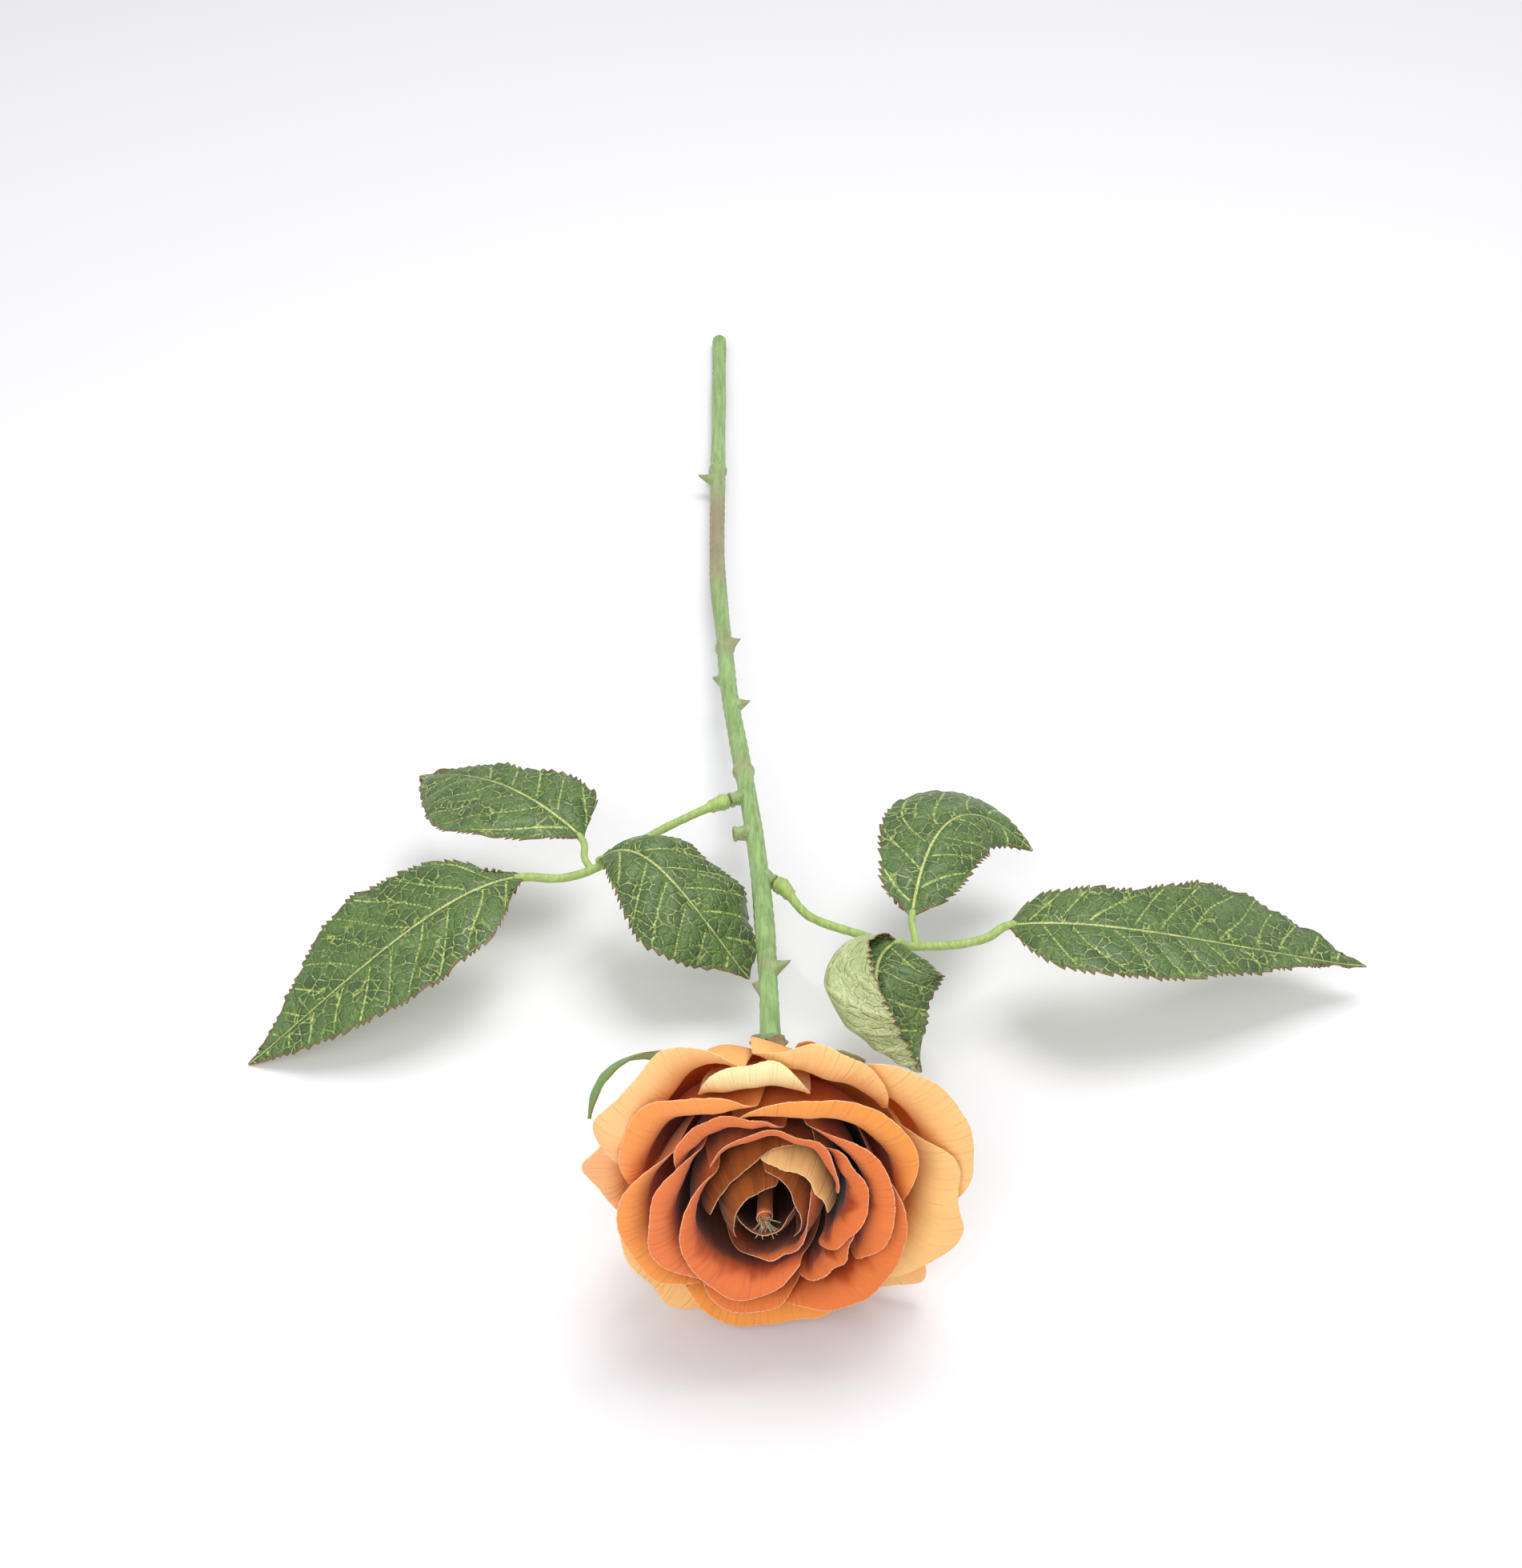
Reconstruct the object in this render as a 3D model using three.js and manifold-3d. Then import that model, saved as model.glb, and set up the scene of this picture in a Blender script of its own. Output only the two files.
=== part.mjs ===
// A long-stemmed artificial rose, lying on a flat surface with its open bloom
// turned towards -Y and its cut stem end towards +Y. Millimetres, +Z up.
//
// The bloom is twenty-seven heat-formed fabric petals round a core peg, held by
// a moulded calyx with five sepals. The stem is one moulded rod with thorns,
// nodes and sockets, and two moulded leaf stalks carry three fabric leaflets each.
import * as THREE from 'three';
import { mergeVertices } from 'three/addons/utils/BufferGeometryUtils.js';
import Module from 'manifold-3d';

const wasm = await Module();
wasm.setup();

// ---- Driving dimensions -------------------------------------------------------

const TOUCH_GAP = 0.3;

const PETAL_THICKNESS = 0.4;
const LEAF_THICKNESS = 0.45;
const SEPAL_THICKNESS = 0.6;

const STEM_RADIUS = 2.4;
const STALK_RADIUS = 1.15;
const PETIOLE_RADIUS = 0.95;

// The bloom's axis: its base, and the way that the flower faces.
const BLOOM_BASE = new THREE.Vector3(2, 382, 36.5);
const BLOOM_TILT = THREE.MathUtils.degToRad(8);
const BLOOM_AXIS = new THREE.Vector3(-0.03, -Math.cos(BLOOM_TILT), Math.sin(BLOOM_TILT)).normalize();
const BLOOM_RIGHT = new THREE.Vector3(1, 0, 0).addScaledVector(BLOOM_AXIS, -BLOOM_AXIS.x).normalize();
const BLOOM_UP = new THREE.Vector3().crossVectors(BLOOM_AXIS, BLOOM_RIGHT).normalize();

// ---- Small helpers --------------------------------------------------------------

const clamp01 = (x) => Math.min(Math.max(x, 0), 1);
const smoothstep = (x) => clamp01(x) ** 2 * (3 - 2 * clamp01(x));
const degrees = THREE.MathUtils.degToRad;

// A smooth curve through (x, y) knots with finite-difference slopes.
function throughKnots(knots, x) {
  const last = knots.length - 1;
  const slope = (i) => {
    const low = knots[Math.max(i - 1, 0)];
    const high = knots[Math.min(i + 1, last)];
    return (high[1] - low[1]) / (high[0] - low[0]);
  };
  const inside = Math.min(Math.max(x, knots[0][0]), knots[last][0]);
  const i = Math.max(knots.findLastIndex((knot, n) => n < last && inside >= knot[0]), 0);
  const [x0, y0] = knots[i];
  const [x1, y1] = knots[i + 1];
  const span = x1 - x0;
  const t = (inside - x0) / span;
  const start = (2 * t ** 3 - 3 * t ** 2 + 1) * y0 + (t ** 3 - 2 * t ** 2 + t) * span * slope(i);
  const end = (-2 * t ** 3 + 3 * t ** 2) * y1 + (t ** 3 - t ** 2) * span * slope(i + 1);
  return start + end;
}

// A closed solid of even thickness on both sides of a grid of points.
function sheetSolid(grid, thickness) {
  const rows = grid.length;
  const columns = grid[0].length;
  const positions = [];
  for (const side of [0.5, -0.5]) {
    grid.forEach((row, i) => row.forEach((point, j) => {
      const along = grid[Math.min(i + 1, rows - 1)][j].clone().sub(grid[Math.max(i - 1, 0)][j]);
      const across = row[Math.min(j + 1, columns - 1)].clone().sub(row[Math.max(j - 1, 0)]);
      const normal = along.cross(across).normalize();
      positions.push(...point.clone().addScaledVector(normal, side * thickness).toArray());
    }));
  }
  const at = (side, i, j) => side * rows * columns + i * columns + j;
  const index = [];
  const quad = (a, b, c, d) => index.push(a, b, c, a, c, d);
  for (let i = 0; i < rows - 1; i += 1) {
    for (let j = 0; j < columns - 1; j += 1) {
      quad(at(0, i, j), at(0, i + 1, j), at(0, i + 1, j + 1), at(0, i, j + 1));
      quad(at(1, i, j), at(1, i, j + 1), at(1, i + 1, j + 1), at(1, i + 1, j));
    }
    quad(at(0, i, 0), at(1, i, 0), at(1, i + 1, 0), at(0, i + 1, 0));
    quad(at(0, i + 1, columns - 1), at(1, i + 1, columns - 1), at(1, i, columns - 1), at(0, i, columns - 1));
  }
  for (let j = 0; j < columns - 1; j += 1) {
    quad(at(0, 0, j + 1), at(1, 0, j + 1), at(1, 0, j), at(0, 0, j));
    quad(at(0, rows - 1, j), at(1, rows - 1, j), at(1, rows - 1, j + 1), at(0, rows - 1, j + 1));
  }
  const geometry = new THREE.BufferGeometry();
  geometry.setAttribute('position', new THREE.Float32BufferAttribute(positions, 3));
  geometry.setIndex(index);
  geometry.computeVertexNormals();
  return geometry;
}

// The joined solid of several closed geometries.
function joined(geometries) {
  const solids = geometries.map((geometry) => {
    const bare = geometry.clone();
    bare.deleteAttribute('normal');
    bare.deleteAttribute('uv');
    const merged = mergeVertices(bare, 1e-4);
    return new wasm.Manifold(new wasm.Mesh({
      numProp: 3,
      vertProperties: new Float32Array(merged.attributes.position.array),
      triVerts: new Uint32Array(merged.index.array),
    }));
  });
  const mesh = solids.reduce((whole, solid) => whole.add(solid)).getMesh();
  const geometry = new THREE.BufferGeometry();
  geometry.setAttribute('position', new THREE.BufferAttribute(new Float32Array(mesh.vertProperties), 3));
  geometry.setIndex(new THREE.BufferAttribute(new Uint32Array(mesh.triVerts), 1));
  geometry.computeVertexNormals();
  return geometry;
}

const vectors = (points) => points.map((point) => new THREE.Vector3(...point));

// A round rod along a smooth path.
function rodAlong(points, radius, sides, steps) {
  const section = new THREE.Shape();
  section.absarc(0, 0, radius, 0, 2 * Math.PI, false);
  const path = new THREE.CatmullRomCurve3(vectors(points), false, 'centripetal');
  return new THREE.ExtrudeGeometry(section, {
    extrudePath: path,
    steps,
    curveSegments: sides / 2,
    bevelEnabled: false,
  });
}

// A geometry built along +Y, moved to start at a point and run along a direction.
function pointedAlong(geometry, start, direction) {
  const way = new THREE.Vector3(...direction).normalize();
  const turn = new THREE.Quaternion().setFromUnitVectors(new THREE.Vector3(0, 1, 0), way);
  return geometry.applyQuaternion(turn).translate(...start);
}

// A tapered round peg from a point along a direction.
function peg(start, direction, length, startRadius, endRadius, sides = 10) {
  const cylinder = new THREE.CylinderGeometry(endRadius, startRadius, length, sides);
  return pointedAlong(cylinder.translate(0, length / 2, 0), start, direction);
}

// ---- Bloom: one family of nested cup layers -----------------------------------

// Each layer is named by its crest radius R. These knots give, against R, the
// crest's height along the axis and the slopes of the layer's outline there and
// at its base. Layers never cross, so petals on different layers never touch.
const CREST_HEIGHT = [[3, 40], [7, 39.5], [10, 39.3], [13, 39.7], [16, 40], [20, 40], [22, 39.2],
  [24.4, 37.6], [26.4, 35.4], [28.2, 33], [30, 30.2], [32, 26.6], [34, 23.2], [36, 20], [38, 16.8], [42, 9]];
const CREST_LEAN = [[3, -30], [7, -32], [10, -32], [13, -24], [16, -10], [19, 2], [22, 6],
  [26, 9], [30, 11], [34, 14], [38, 19], [42, 26]];
const BASE_LEAN = [[3, 28], [7, 38], [10, 46], [13, 54], [16, 60], [19, 64], [22, 68],
  [26, 74], [30, 79], [34, 84], [38, 88], [42, 92]];
const HEART_DIP = 6;

// The outline of layer R at one azimuth: points of (radius, height) and the crest's lean.
function layerOutline(crestRadius, azimuth) {
  const lowered = clamp01((26 - crestRadius) / 4) * clamp01((crestRadius - 4) / 10);
  const dip = HEART_DIP * lowered * Math.max(Math.sin(azimuth), 0);
  const lean = degrees(throughKnots(CREST_LEAN, crestRadius));
  const baseLean = degrees(throughKnots(BASE_LEAN, crestRadius));
  const base = new THREE.Vector2(2.6 + 0.05 * crestRadius, 12 - 0.3 * crestRadius);
  const crest = new THREE.Vector2(crestRadius, throughKnots(CREST_HEIGHT, crestRadius) - dip);
  const chord = base.distanceTo(crest);
  const lower = new THREE.Vector2(Math.sin(baseLean), Math.cos(baseLean));
  const upper = new THREE.Vector2(Math.sin(lean), Math.cos(lean));
  const curve = new THREE.CubicBezierCurve(
    base,
    base.clone().addScaledVector(lower, 0.38 * chord),
    crest.clone().addScaledVector(upper, -0.42 * chord),
    crest,
  );
  return { curve, lean, length: curve.getLength() };
}

// A rim's flare past the crest: the sideways and upward travel after a length, on an
// arc that turns from the crest's lean to the rim's, and straight on after it.
function flare(lean, radius, turn, past) {
  const turned = Math.min(past / radius, turn);
  const straight = Math.max(past - turn * radius, 0);
  return new THREE.Vector2(
    radius * (Math.cos(lean) - Math.cos(lean + turned)) + straight * Math.sin(lean + turn),
    radius * (Math.sin(lean + turned) - Math.sin(lean)) + straight * Math.cos(lean + turn),
  );
}

const CREST_ROUNDS = 12;

// How far a rim turns past its crest to end at a lean in degrees.
function turnTo(lean, crest) {
  return Math.max(degrees(lean - throughKnots(CREST_LEAN, crest)), 0);
}

// The crest radius whose flare ends at a rim radius, found in a few damped rounds.
function crestFor(rimRadius, { reach, lean, bend }) {
  let crest = rimRadius;
  for (let round = 0; round < CREST_ROUNDS; round += 1) {
    const crestLean = degrees(throughKnots(CREST_LEAN, crest));
    const sideways = flare(crestLean, bend, turnTo(lean, crest), reach).x;
    crest = (crest + rimRadius - sideways) / 2;
  }
  return crest;
}

// A point of the bloom from azimuth, radius and height along the axis.
function bloomPoint(azimuth, radius, height) {
  return BLOOM_BASE.clone()
    .addScaledVector(BLOOM_RIGHT, radius * Math.cos(azimuth))
    .addScaledVector(BLOOM_UP, radius * Math.sin(azimuth))
    .addScaledVector(BLOOM_AXIS, height);
}

// Petals near the surface that the rose lies on bend up more and more over the
// last few millimetres, so that none goes through it.
const PRESS_HEIGHT = 4;

function pressedUp(point) {
  if (point.z < PRESS_HEIGHT) {
    point.z = PRESS_HEIGHT * Math.exp(point.z / PRESS_HEIGHT - 1);
  }
  return point;
}

const BASE_HALF_ANGLE = 17;
const RIM_ROWS = [0, 0.2, 0.42, 0.62, 0.76, 0.83, 0.89, 0.945, 1];
const PETAL_COLUMNS = 8;
const WIDE_PETAL_COLUMNS = 12;
const WIDE_FROM = 80;

// A petal's sides run on behind its neighbours by this share of its half width,
// and fall by this share of its height as they do.
const TUCK = 0.05;
const TUCK_FALL = 0.42;
const TUCK_FROM = 0.8;

// A petal opens to its full width over this share of its height, its sides drop by
// this power of the way across, and its point is this wide.
const OPENING_SHARE = 0.42;
const DROP_POWER = 2.6;
const POINT_WIDTH = 0.22;

// One petal: azimuth and half width in degrees, rim radii from its clockwise side
// to its other side, reach past the crest, the rim's lean in degrees and its bend's
// radius, how far its sides drop, and its point.
function petalGrid(petal) {
  const { azimuth, halfWidth, rim, reach, lean, bend, drop = 0.2, point = 0, pointAt = 0 } = petal;
  const rimKnots = rim.map((radius, i) => [-1 + i * 0.5, radius]);
  const fullWidth = halfWidth * (1 + TUCK);
  const columns = halfWidth > WIDE_FROM ? WIDE_PETAL_COLUMNS : PETAL_COLUMNS;
  return RIM_ROWS.map((row) => {
    const line = [];
    for (let column = 0; column <= columns; column += 1) {
      const across = -1 + (2 * column) / columns;
      const place = across * (1 + TUCK);
      const crest = crestFor(throughKnots(rimKnots, place), petal);
      const outline = layerOutline(crest, degrees(azimuth + fullWidth * across));
      const cusp = point * Math.exp(-(((place - pointAt) / POINT_WIDTH) ** 2));
      const fall = TUCK_FALL * smoothstep((Math.abs(across) - TUCK_FROM) / (1 - TUCK_FROM));
      const sides = 1 - drop * Math.min(Math.abs(place), 1) ** DROP_POWER - fall;
      const travelled = row * ((outline.length + reach) * sides + cusp);
      const opened = smoothstep(travelled / (outline.length * OPENING_SHARE));
      const spread = BASE_HALF_ANGLE + (fullWidth - BASE_HALF_ANGLE) * opened;
      const past = Math.max(travelled - outline.length, 0);
      const spot = outline.curve.getPointAt(clamp01(travelled / outline.length))
        .add(flare(outline.lean, bend, turnTo(lean, crest), past));
      line.push(pressedUp(bloomPoint(degrees(azimuth + spread * across), spot.x, spot.y)));
    }
    return line;
  });
}

const OUTER_PETALS = [
  { azimuth: 131, halfWidth: 34, rim: [41.9, 43.7, 41.8, 40.2, 39.8], reach: 14, lean: 115,
    bend: 7.6, point: 4, pointAt: 0.6 },
  { azimuth: 68, halfWidth: 29, rim: [41.7, 42, 41.2, 41.7, 43.1], reach: 13, lean: 112, bend: 7.5 },
  { azimuth: 27, halfWidth: 42, rim: [47.3, 46.5, 46, 45, 45.1], reach: 15, lean: 115, bend: 8 },
  { azimuth: 352, halfWidth: 42, rim: [40.3, 41.1, 41.5, 42.2, 41], reach: 12, lean: 115,
    bend: 6.5, point: 4, pointAt: -0.25 },
  { azimuth: 308, halfWidth: 32, rim: [43.3, 45, 45.3, 44, 43.5], reach: 8.5, lean: 80,
    bend: 6, point: 4, pointAt: 0.25 },
  { azimuth: 240, halfWidth: 44, rim: [41.6, 41.6, 42.9, 43.1, 42], reach: 9, lean: 80,
    bend: 6, drop: 0.24, point: 5, pointAt: 0.16 },
  { azimuth: 170, halfWidth: 36, rim: [37.7, 36.7, 35.9, 35.9, 35.2], reach: 6.5, lean: 80,
    bend: 4.5, drop: 0.24, point: 4, pointAt: 0 },
  { azimuth: 95, halfWidth: 25, rim: [36.2, 36.8, 36.4, 36.5, 37.2], reach: 9.5, lean: 112,
    bend: 4.4, drop: 0.16 },
];

const MIDDLE_PETALS = [
  { azimuth: 132, halfWidth: 42, rim: [35, 34.5, 36.5, 35.8, 34.5], reach: 10.5, lean: 105,
    bend: 5.8, drop: 0.18 },
  { azimuth: 188, halfWidth: 52, rim: [29.6, 31, 31.3, 31.5, 29.9], reach: 8.5, lean: 90, bend: 5.6 },
  { azimuth: 54, halfWidth: 56, rim: [35.9, 36.5, 35.7, 32.6, 31.2], reach: 10.5, lean: 105,
    bend: 5.8, drop: 0.18 },
  { azimuth: 268, halfWidth: 46, rim: [34.5, 35.5, 37.1, 36.4, 34.5], reach: 8.5, lean: 85, bend: 6 },
];

const INNER_PETALS = [
  { azimuth: 334, halfWidth: 60, rim: [28.4, 28.8, 30.2, 31.6, 32], reach: 8.5, lean: 92,
    bend: 5.4, drop: 0.16 },
  { azimuth: 114, halfWidth: 38, rim: [27.1, 26.1, 27.6, 27.4, 26.7], reach: 8.5, lean: 92,
    bend: 5.4, drop: 0.16 },
  { azimuth: 184, halfWidth: 58, rim: [25.9, 25, 24.7, 23.4, 22.8], reach: 8.5, lean: 92,
    bend: 5.4, drop: 0.16 },
  { azimuth: 258, halfWidth: 38, rim: [25.4, 24.6, 24.2, 23.3, 23.5], reach: 6, lean: 80, bend: 4.5 },
  { azimuth: 20, halfWidth: 52, rim: [27.5, 27.3, 28.8, 28.6, 28.4], reach: 8.5, lean: 92,
    bend: 5.4, drop: 0.16 },
];

const HEART_PETALS = [
  { azimuth: 222, halfWidth: 93, rim: [17.9, 18.7, 17.6, 16.7, 15.4], reach: 7.5, lean: 85,
    bend: 4.5, drop: 0.1, point: 3, pointAt: 0.28 },
  { azimuth: 16, halfWidth: 46, rim: [15.5, 18.3, 22.9, 24.9, 25.7], reach: 7.5, lean: 85,
    bend: 4.5, drop: 0.14 },
  { azimuth: 328, halfWidth: 36, rim: [20.6, 19.2, 17.8, 20.2, 23.2], reach: 6, lean: 80,
    bend: 4.5, drop: 0.16 },
  { azimuth: 316, halfWidth: 80, rim: [11.4, 10.1, 9.2, 9.4, 11.2], reach: 4, lean: 28,
    bend: 5, drop: 0.12 },
  { azimuth: 79, halfWidth: 61, rim: [18.9, 22.1, 22.1, 20.9, 19.7], reach: 6.5, lean: 85,
    bend: 4.5, drop: 0.12 },
];

const BUD_PETALS = [
  { azimuth: 126, halfWidth: 64, rim: [15.1, 12.4, 10.2, 10.1, 10.7], reach: 2, lean: -32,
    bend: 5, drop: 0.1 },
  { azimuth: 48, halfWidth: 52, rim: [12.3, 12.2, 12.1, 10.2, 10.2], reach: 2, lean: -32,
    bend: 5, drop: 0.1 },
  { azimuth: 21, halfWidth: 76, rim: [7.5, 7.8, 7.2, 7.9, 7.7], reach: 2, lean: -32,
    bend: 5, drop: 0.1 },
  { azimuth: 150, halfWidth: 88, rim: [5.5, 5.5, 6, 6.4, 8.3], reach: 2, lean: -32,
    bend: 5, drop: 0.1 },
  { azimuth: 270, halfWidth: 90, rim: [4.6, 4.2, 4, 4, 3.6], reach: 2, lean: -32, bend: 5, drop: 0.1 },
];
const PETAL_RINGS = [
  { name: 'outer_petal', petals: OUTER_PETALS, color: 0xe9a25c },
  { name: 'middle_petal', petals: MIDDLE_PETALS, color: 0xe0924c },
  { name: 'inner_petal', petals: INNER_PETALS, color: 0xc97848 },
  { name: 'heart_petal', petals: HEART_PETALS, color: 0xbd6a3e },
  { name: 'bud_petal', petals: BUD_PETALS, color: 0xa7703f },
];

// ---- Materials -------------------------------------------------------------------

const fabric = (color) => new THREE.MeshStandardMaterial({
  color, roughness: 0.85, metalness: 0, side: THREE.DoubleSide,
});
const plastic = (color) => new THREE.MeshStandardMaterial({ color, roughness: 0.5, metalness: 0 });

const rose = new THREE.Group();

function addPiece(name, geometry, material) {
  const mesh = new THREE.Mesh(geometry, material);
  mesh.name = name;
  rose.add(mesh);
}

for (const { name, petals, color } of PETAL_RINGS) {
  petals.forEach((petal, i) => {
    addPiece(`${name}_${i + 1}`, sheetSolid(petalGrid(petal), PETAL_THICKNESS), fabric(color));
  });
}

// ---- Core peg and calyx ----------------------------------------------------------

const CALYX_TOP = -1.9;
const CALYX_BOTTOM = -12;
const CORE_RADIUS = 1.7;
const CORE_TOP = 37;

// A turned body on the bloom's axis from (radius, height) points.
function turnedOnAxis(profile, sides) {
  const lathe = new THREE.LatheGeometry(profile.map((pair) => new THREE.Vector2(...pair)), sides);
  return pointedAlong(lathe, BLOOM_BASE.toArray(), BLOOM_AXIS.toArray());
}

const CORE_PROFILE = [
  [0, CALYX_TOP + TOUCH_GAP],
  [CORE_RADIUS, CALYX_TOP + TOUCH_GAP],
  [CORE_RADIUS, 12],
  [CORE_RADIUS * 1.2, 26],
  [CORE_RADIUS, CORE_TOP - 2],
  [0.5, CORE_TOP],
  [0, CORE_TOP],
];
addPiece('bloom_core', joined([turnedOnAxis(CORE_PROFILE, 10)]), fabric(0xb5653a));

const CALYX_PROFILE = [
  [0, CALYX_BOTTOM],
  [STEM_RADIUS, CALYX_BOTTOM],
  [3.2, CALYX_BOTTOM + 2.2],
  [5.2, CALYX_BOTTOM + 4.8],
  [5.6, CALYX_BOTTOM + 6.6],
  [4.9, CALYX_TOP],
  [0, CALYX_TOP],
];
addPiece('calyx_cup', joined([turnedOnAxis(CALYX_PROFILE, 12)]), plastic(0x6f9a58));

// ---- Sepals ------------------------------------------------------------------------

// Each sepal's spine: four (azimuth in degrees, radius, height) points of a cubic
// curve, its half width, and how far it is twisted at its tip, in degrees.
const SEPALS = [
  { spine: [[158, 6.3, -5.6], [168, 14.3, -9], [150, 44, -2], [172, 40, 15]], halfWidth: 3.2, twist: 55 },
  { spine: [[92, 6.3, -5.6], [92, 12, -8], [92, 17, -5], [92, 20, 4]], halfWidth: 4, twist: 0 },
  { spine: [[20, 6.3, -5.6], [20, 12, -8], [20, 19, -8], [20, 23, -5]], halfWidth: 4, twist: 0 },
  { spine: [[302, 6.3, -5.6], [302, 15, -8.5], [302, 27, -7], [302, 30, -3]], halfWidth: 4, twist: 0 },
  { spine: [[232, 6.3, -5.6], [232, 15, -8.5], [232, 27, -7], [232, 30, -3]], halfWidth: 4, twist: 0 },
];
const SEPAL_ROWS = 10;

// A sepal's width follows a half sine from this share of its length, to this power.
const SEPAL_FOOT = 0.22;
const SEPAL_FULLNESS = 0.8;
const SEPAL_TIP_HALF = 0.4;

// A narrow pointed blade from the calyx rim, sagging back and then curling forward.
function sepalGrid({ spine, halfWidth, twist }) {
  const curve = new THREE.CubicBezierCurve3(
    ...spine.map(([azimuth, radius, height]) => bloomPoint(degrees(azimuth), radius, height)),
  );
  const outward = curve.getPoint(0.5).sub(BLOOM_BASE);
  const flat = new THREE.Vector3().crossVectors(BLOOM_AXIS, outward).normalize();
  const grid = [];
  for (let i = 0; i <= SEPAL_ROWS; i += 1) {
    const t = i / SEPAL_ROWS;
    const ahead = curve.getTangent(t);
    const normal = new THREE.Vector3().crossVectors(ahead, flat).normalize();
    const sideways = new THREE.Vector3().crossVectors(normal, ahead)
      .applyAxisAngle(ahead, degrees(-twist * t));
    const raised = new THREE.Vector3().crossVectors(ahead, sideways);
    const full = Math.sin(Math.PI * (SEPAL_FOOT + (1 - SEPAL_FOOT) * t)) ** SEPAL_FULLNESS;
    const half = Math.max(halfWidth * full, SEPAL_TIP_HALF);
    grid.push([-1, -0.5, 0, 0.5, 1].map((side) => curve.getPoint(t)
      .addScaledVector(sideways, side * half)
      .addScaledVector(raised, 0.5 * side * side)));
  }
  return grid;
}

SEPALS.forEach((sepal, i) => {
  addPiece(`sepal_${i + 1}`, sheetSolid(sepalGrid(sepal), SEPAL_THICKNESS), fabric(0x5f8a4a));
});

// ---- Stem ----------------------------------------------------------------------------

const calyxFoot = bloomPoint(0, 0, CALYX_BOTTOM - TOUCH_GAP);
const STEM_PATH = [
  [-15.6, 807, 2.5], [-14.9, 740, 5], [-14.6, 699, 7], [-13.7, 636, 10], [-11.2, 597, 13],
  [-9.1, 564, 16], [-5.9, 534, 18.5], [-3.3, 509, 21], [-1.5, 490, 23], [0.4, 462, 26],
  [1.9, 422, 31.5], calyxFoot.toArray(),
];

const stemPath = new THREE.CatmullRomCurve3(vectors(STEM_PATH), false, 'centripetal');
const STEM_SAMPLES = stemPath.getPoints(400);

// The stem's centre at a distance y along the surface.
function stemAt(y) {
  const nearest = STEM_SAMPLES.reduce((best, point) => (
    Math.abs(point.y - y) < Math.abs(best.y - y) ? point : best));
  return nearest.toArray();
}

const STEM_NODES = [{ at: 706, radius: 2.9 }, { at: 592, radius: 2.9 }, { at: 524, radius: 3 }];

// Thorns: where each stands along the stem, the way it points and its length.
const THORNS = [
  { at: 698, way: [-1, 0.35, 0.15], length: 7.2 },
  { at: 594, way: [1, 0.2, 0.2], length: 4.8 },
  { at: 572, way: [-1, 0.1, 0.2], length: 4.4 },
  { at: 559, way: [1, -0.1, 0.3], length: 5.6 },
  { at: 432, way: [1, 0.1, 0.35], length: 6 },
  { at: 424, way: [-1, 0, 0.3], length: 4.4 },
];

// A thorn: a pointed cone that grows out of the stem's centre.
const thorn = ({ at, way, length }) => peg(stemAt(at), way, length, 1.9, 0.12, 5);

// Sockets on the stem that take the leaf stalks, and one left empty.
const LEFT_SOCKET = { start: stemAt(512), way: [-1, -0.5, 0.05], length: 5.4 };
const EMPTY_SOCKET = { start: stemAt(494), way: [-1, -0.2, 0.05], length: 5.6 };
const RIGHT_SOCKET = { start: stemAt(474), way: [1, -0.75, -0.05], length: 4.6 };

function stemGeometry() {
  const swelling = ({ at, radius }) => {
    const ball = new THREE.SphereGeometry(radius, 8, 5);
    return ball.scale(1, 0.7, 1).translate(...stemAt(at));
  };
  const sockets = [LEFT_SOCKET, EMPTY_SOCKET, RIGHT_SOCKET].map(({ start, way, length }) => (
    peg(start, way, length, 2.1, 1.8, 8)));
  return joined([
    rodAlong(STEM_PATH, STEM_RADIUS, 10, 30),
    ...STEM_NODES.map(swelling),
    ...THORNS.map(thorn),
    ...sockets,
  ]);
}
addPiece('stem', stemGeometry(), plastic(0x6c9c55));

// ---- Leaf stalks --------------------------------------------------------------------

const ROD_START_IN_PLUG = 2.5;

// A point on a socket's line, past its far end by the touching gap and a given depth.
function beyondSocket({ start, way, length }, depth = 0) {
  const direction = new THREE.Vector3(...way).normalize();
  const travel = length + TOUCH_GAP + depth;
  return new THREE.Vector3(...start).addScaledVector(direction, travel).toArray();
}

const PLUG_LENGTH = 9;
const plugOn = (socket) => peg(beyondSocket(socket), socket.way, PLUG_LENGTH, 2.2, 1.3, 8);

const leftStart = beyondSocket(LEFT_SOCKET, ROD_START_IN_PLUG);
const LEFT_STALK = [leftStart, [-23, 498, 22.5], [-34, 486, 24.5], [-44, 474.5, 26],
  [-52, 470, 27], [-60, 469.6, 27.8]];
const LEFT_PETIOLES = [
  [[-44, 474.5, 26], [-46, 478, 27], [-46.4, 482.6, 28.4]],
  [[-41, 477.8, 25.5], [-42, 477.6, 26.2], [-42.6, 477.4, 26.6]],
];

const rightStart = beyondSocket(RIGHT_SOCKET, ROD_START_IN_PLUG);
const RIGHT_STALK = [rightStart, [12, 459, 24], [23, 451.5, 25], [35, 445.5, 26],
  [42, 444, 27], [51, 444, 28], [57, 446.4, 28], [61.2, 450.2, 28]];
const RIGHT_PETIOLES = [
  [[39, 444.5, 26.6], [38.4, 449, 27.6], [38, 451.8, 28.6]],
  [[37.4, 444.8, 26.2], [36, 444.9, 26.8], [34.9, 445, 27.4]],
];

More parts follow.
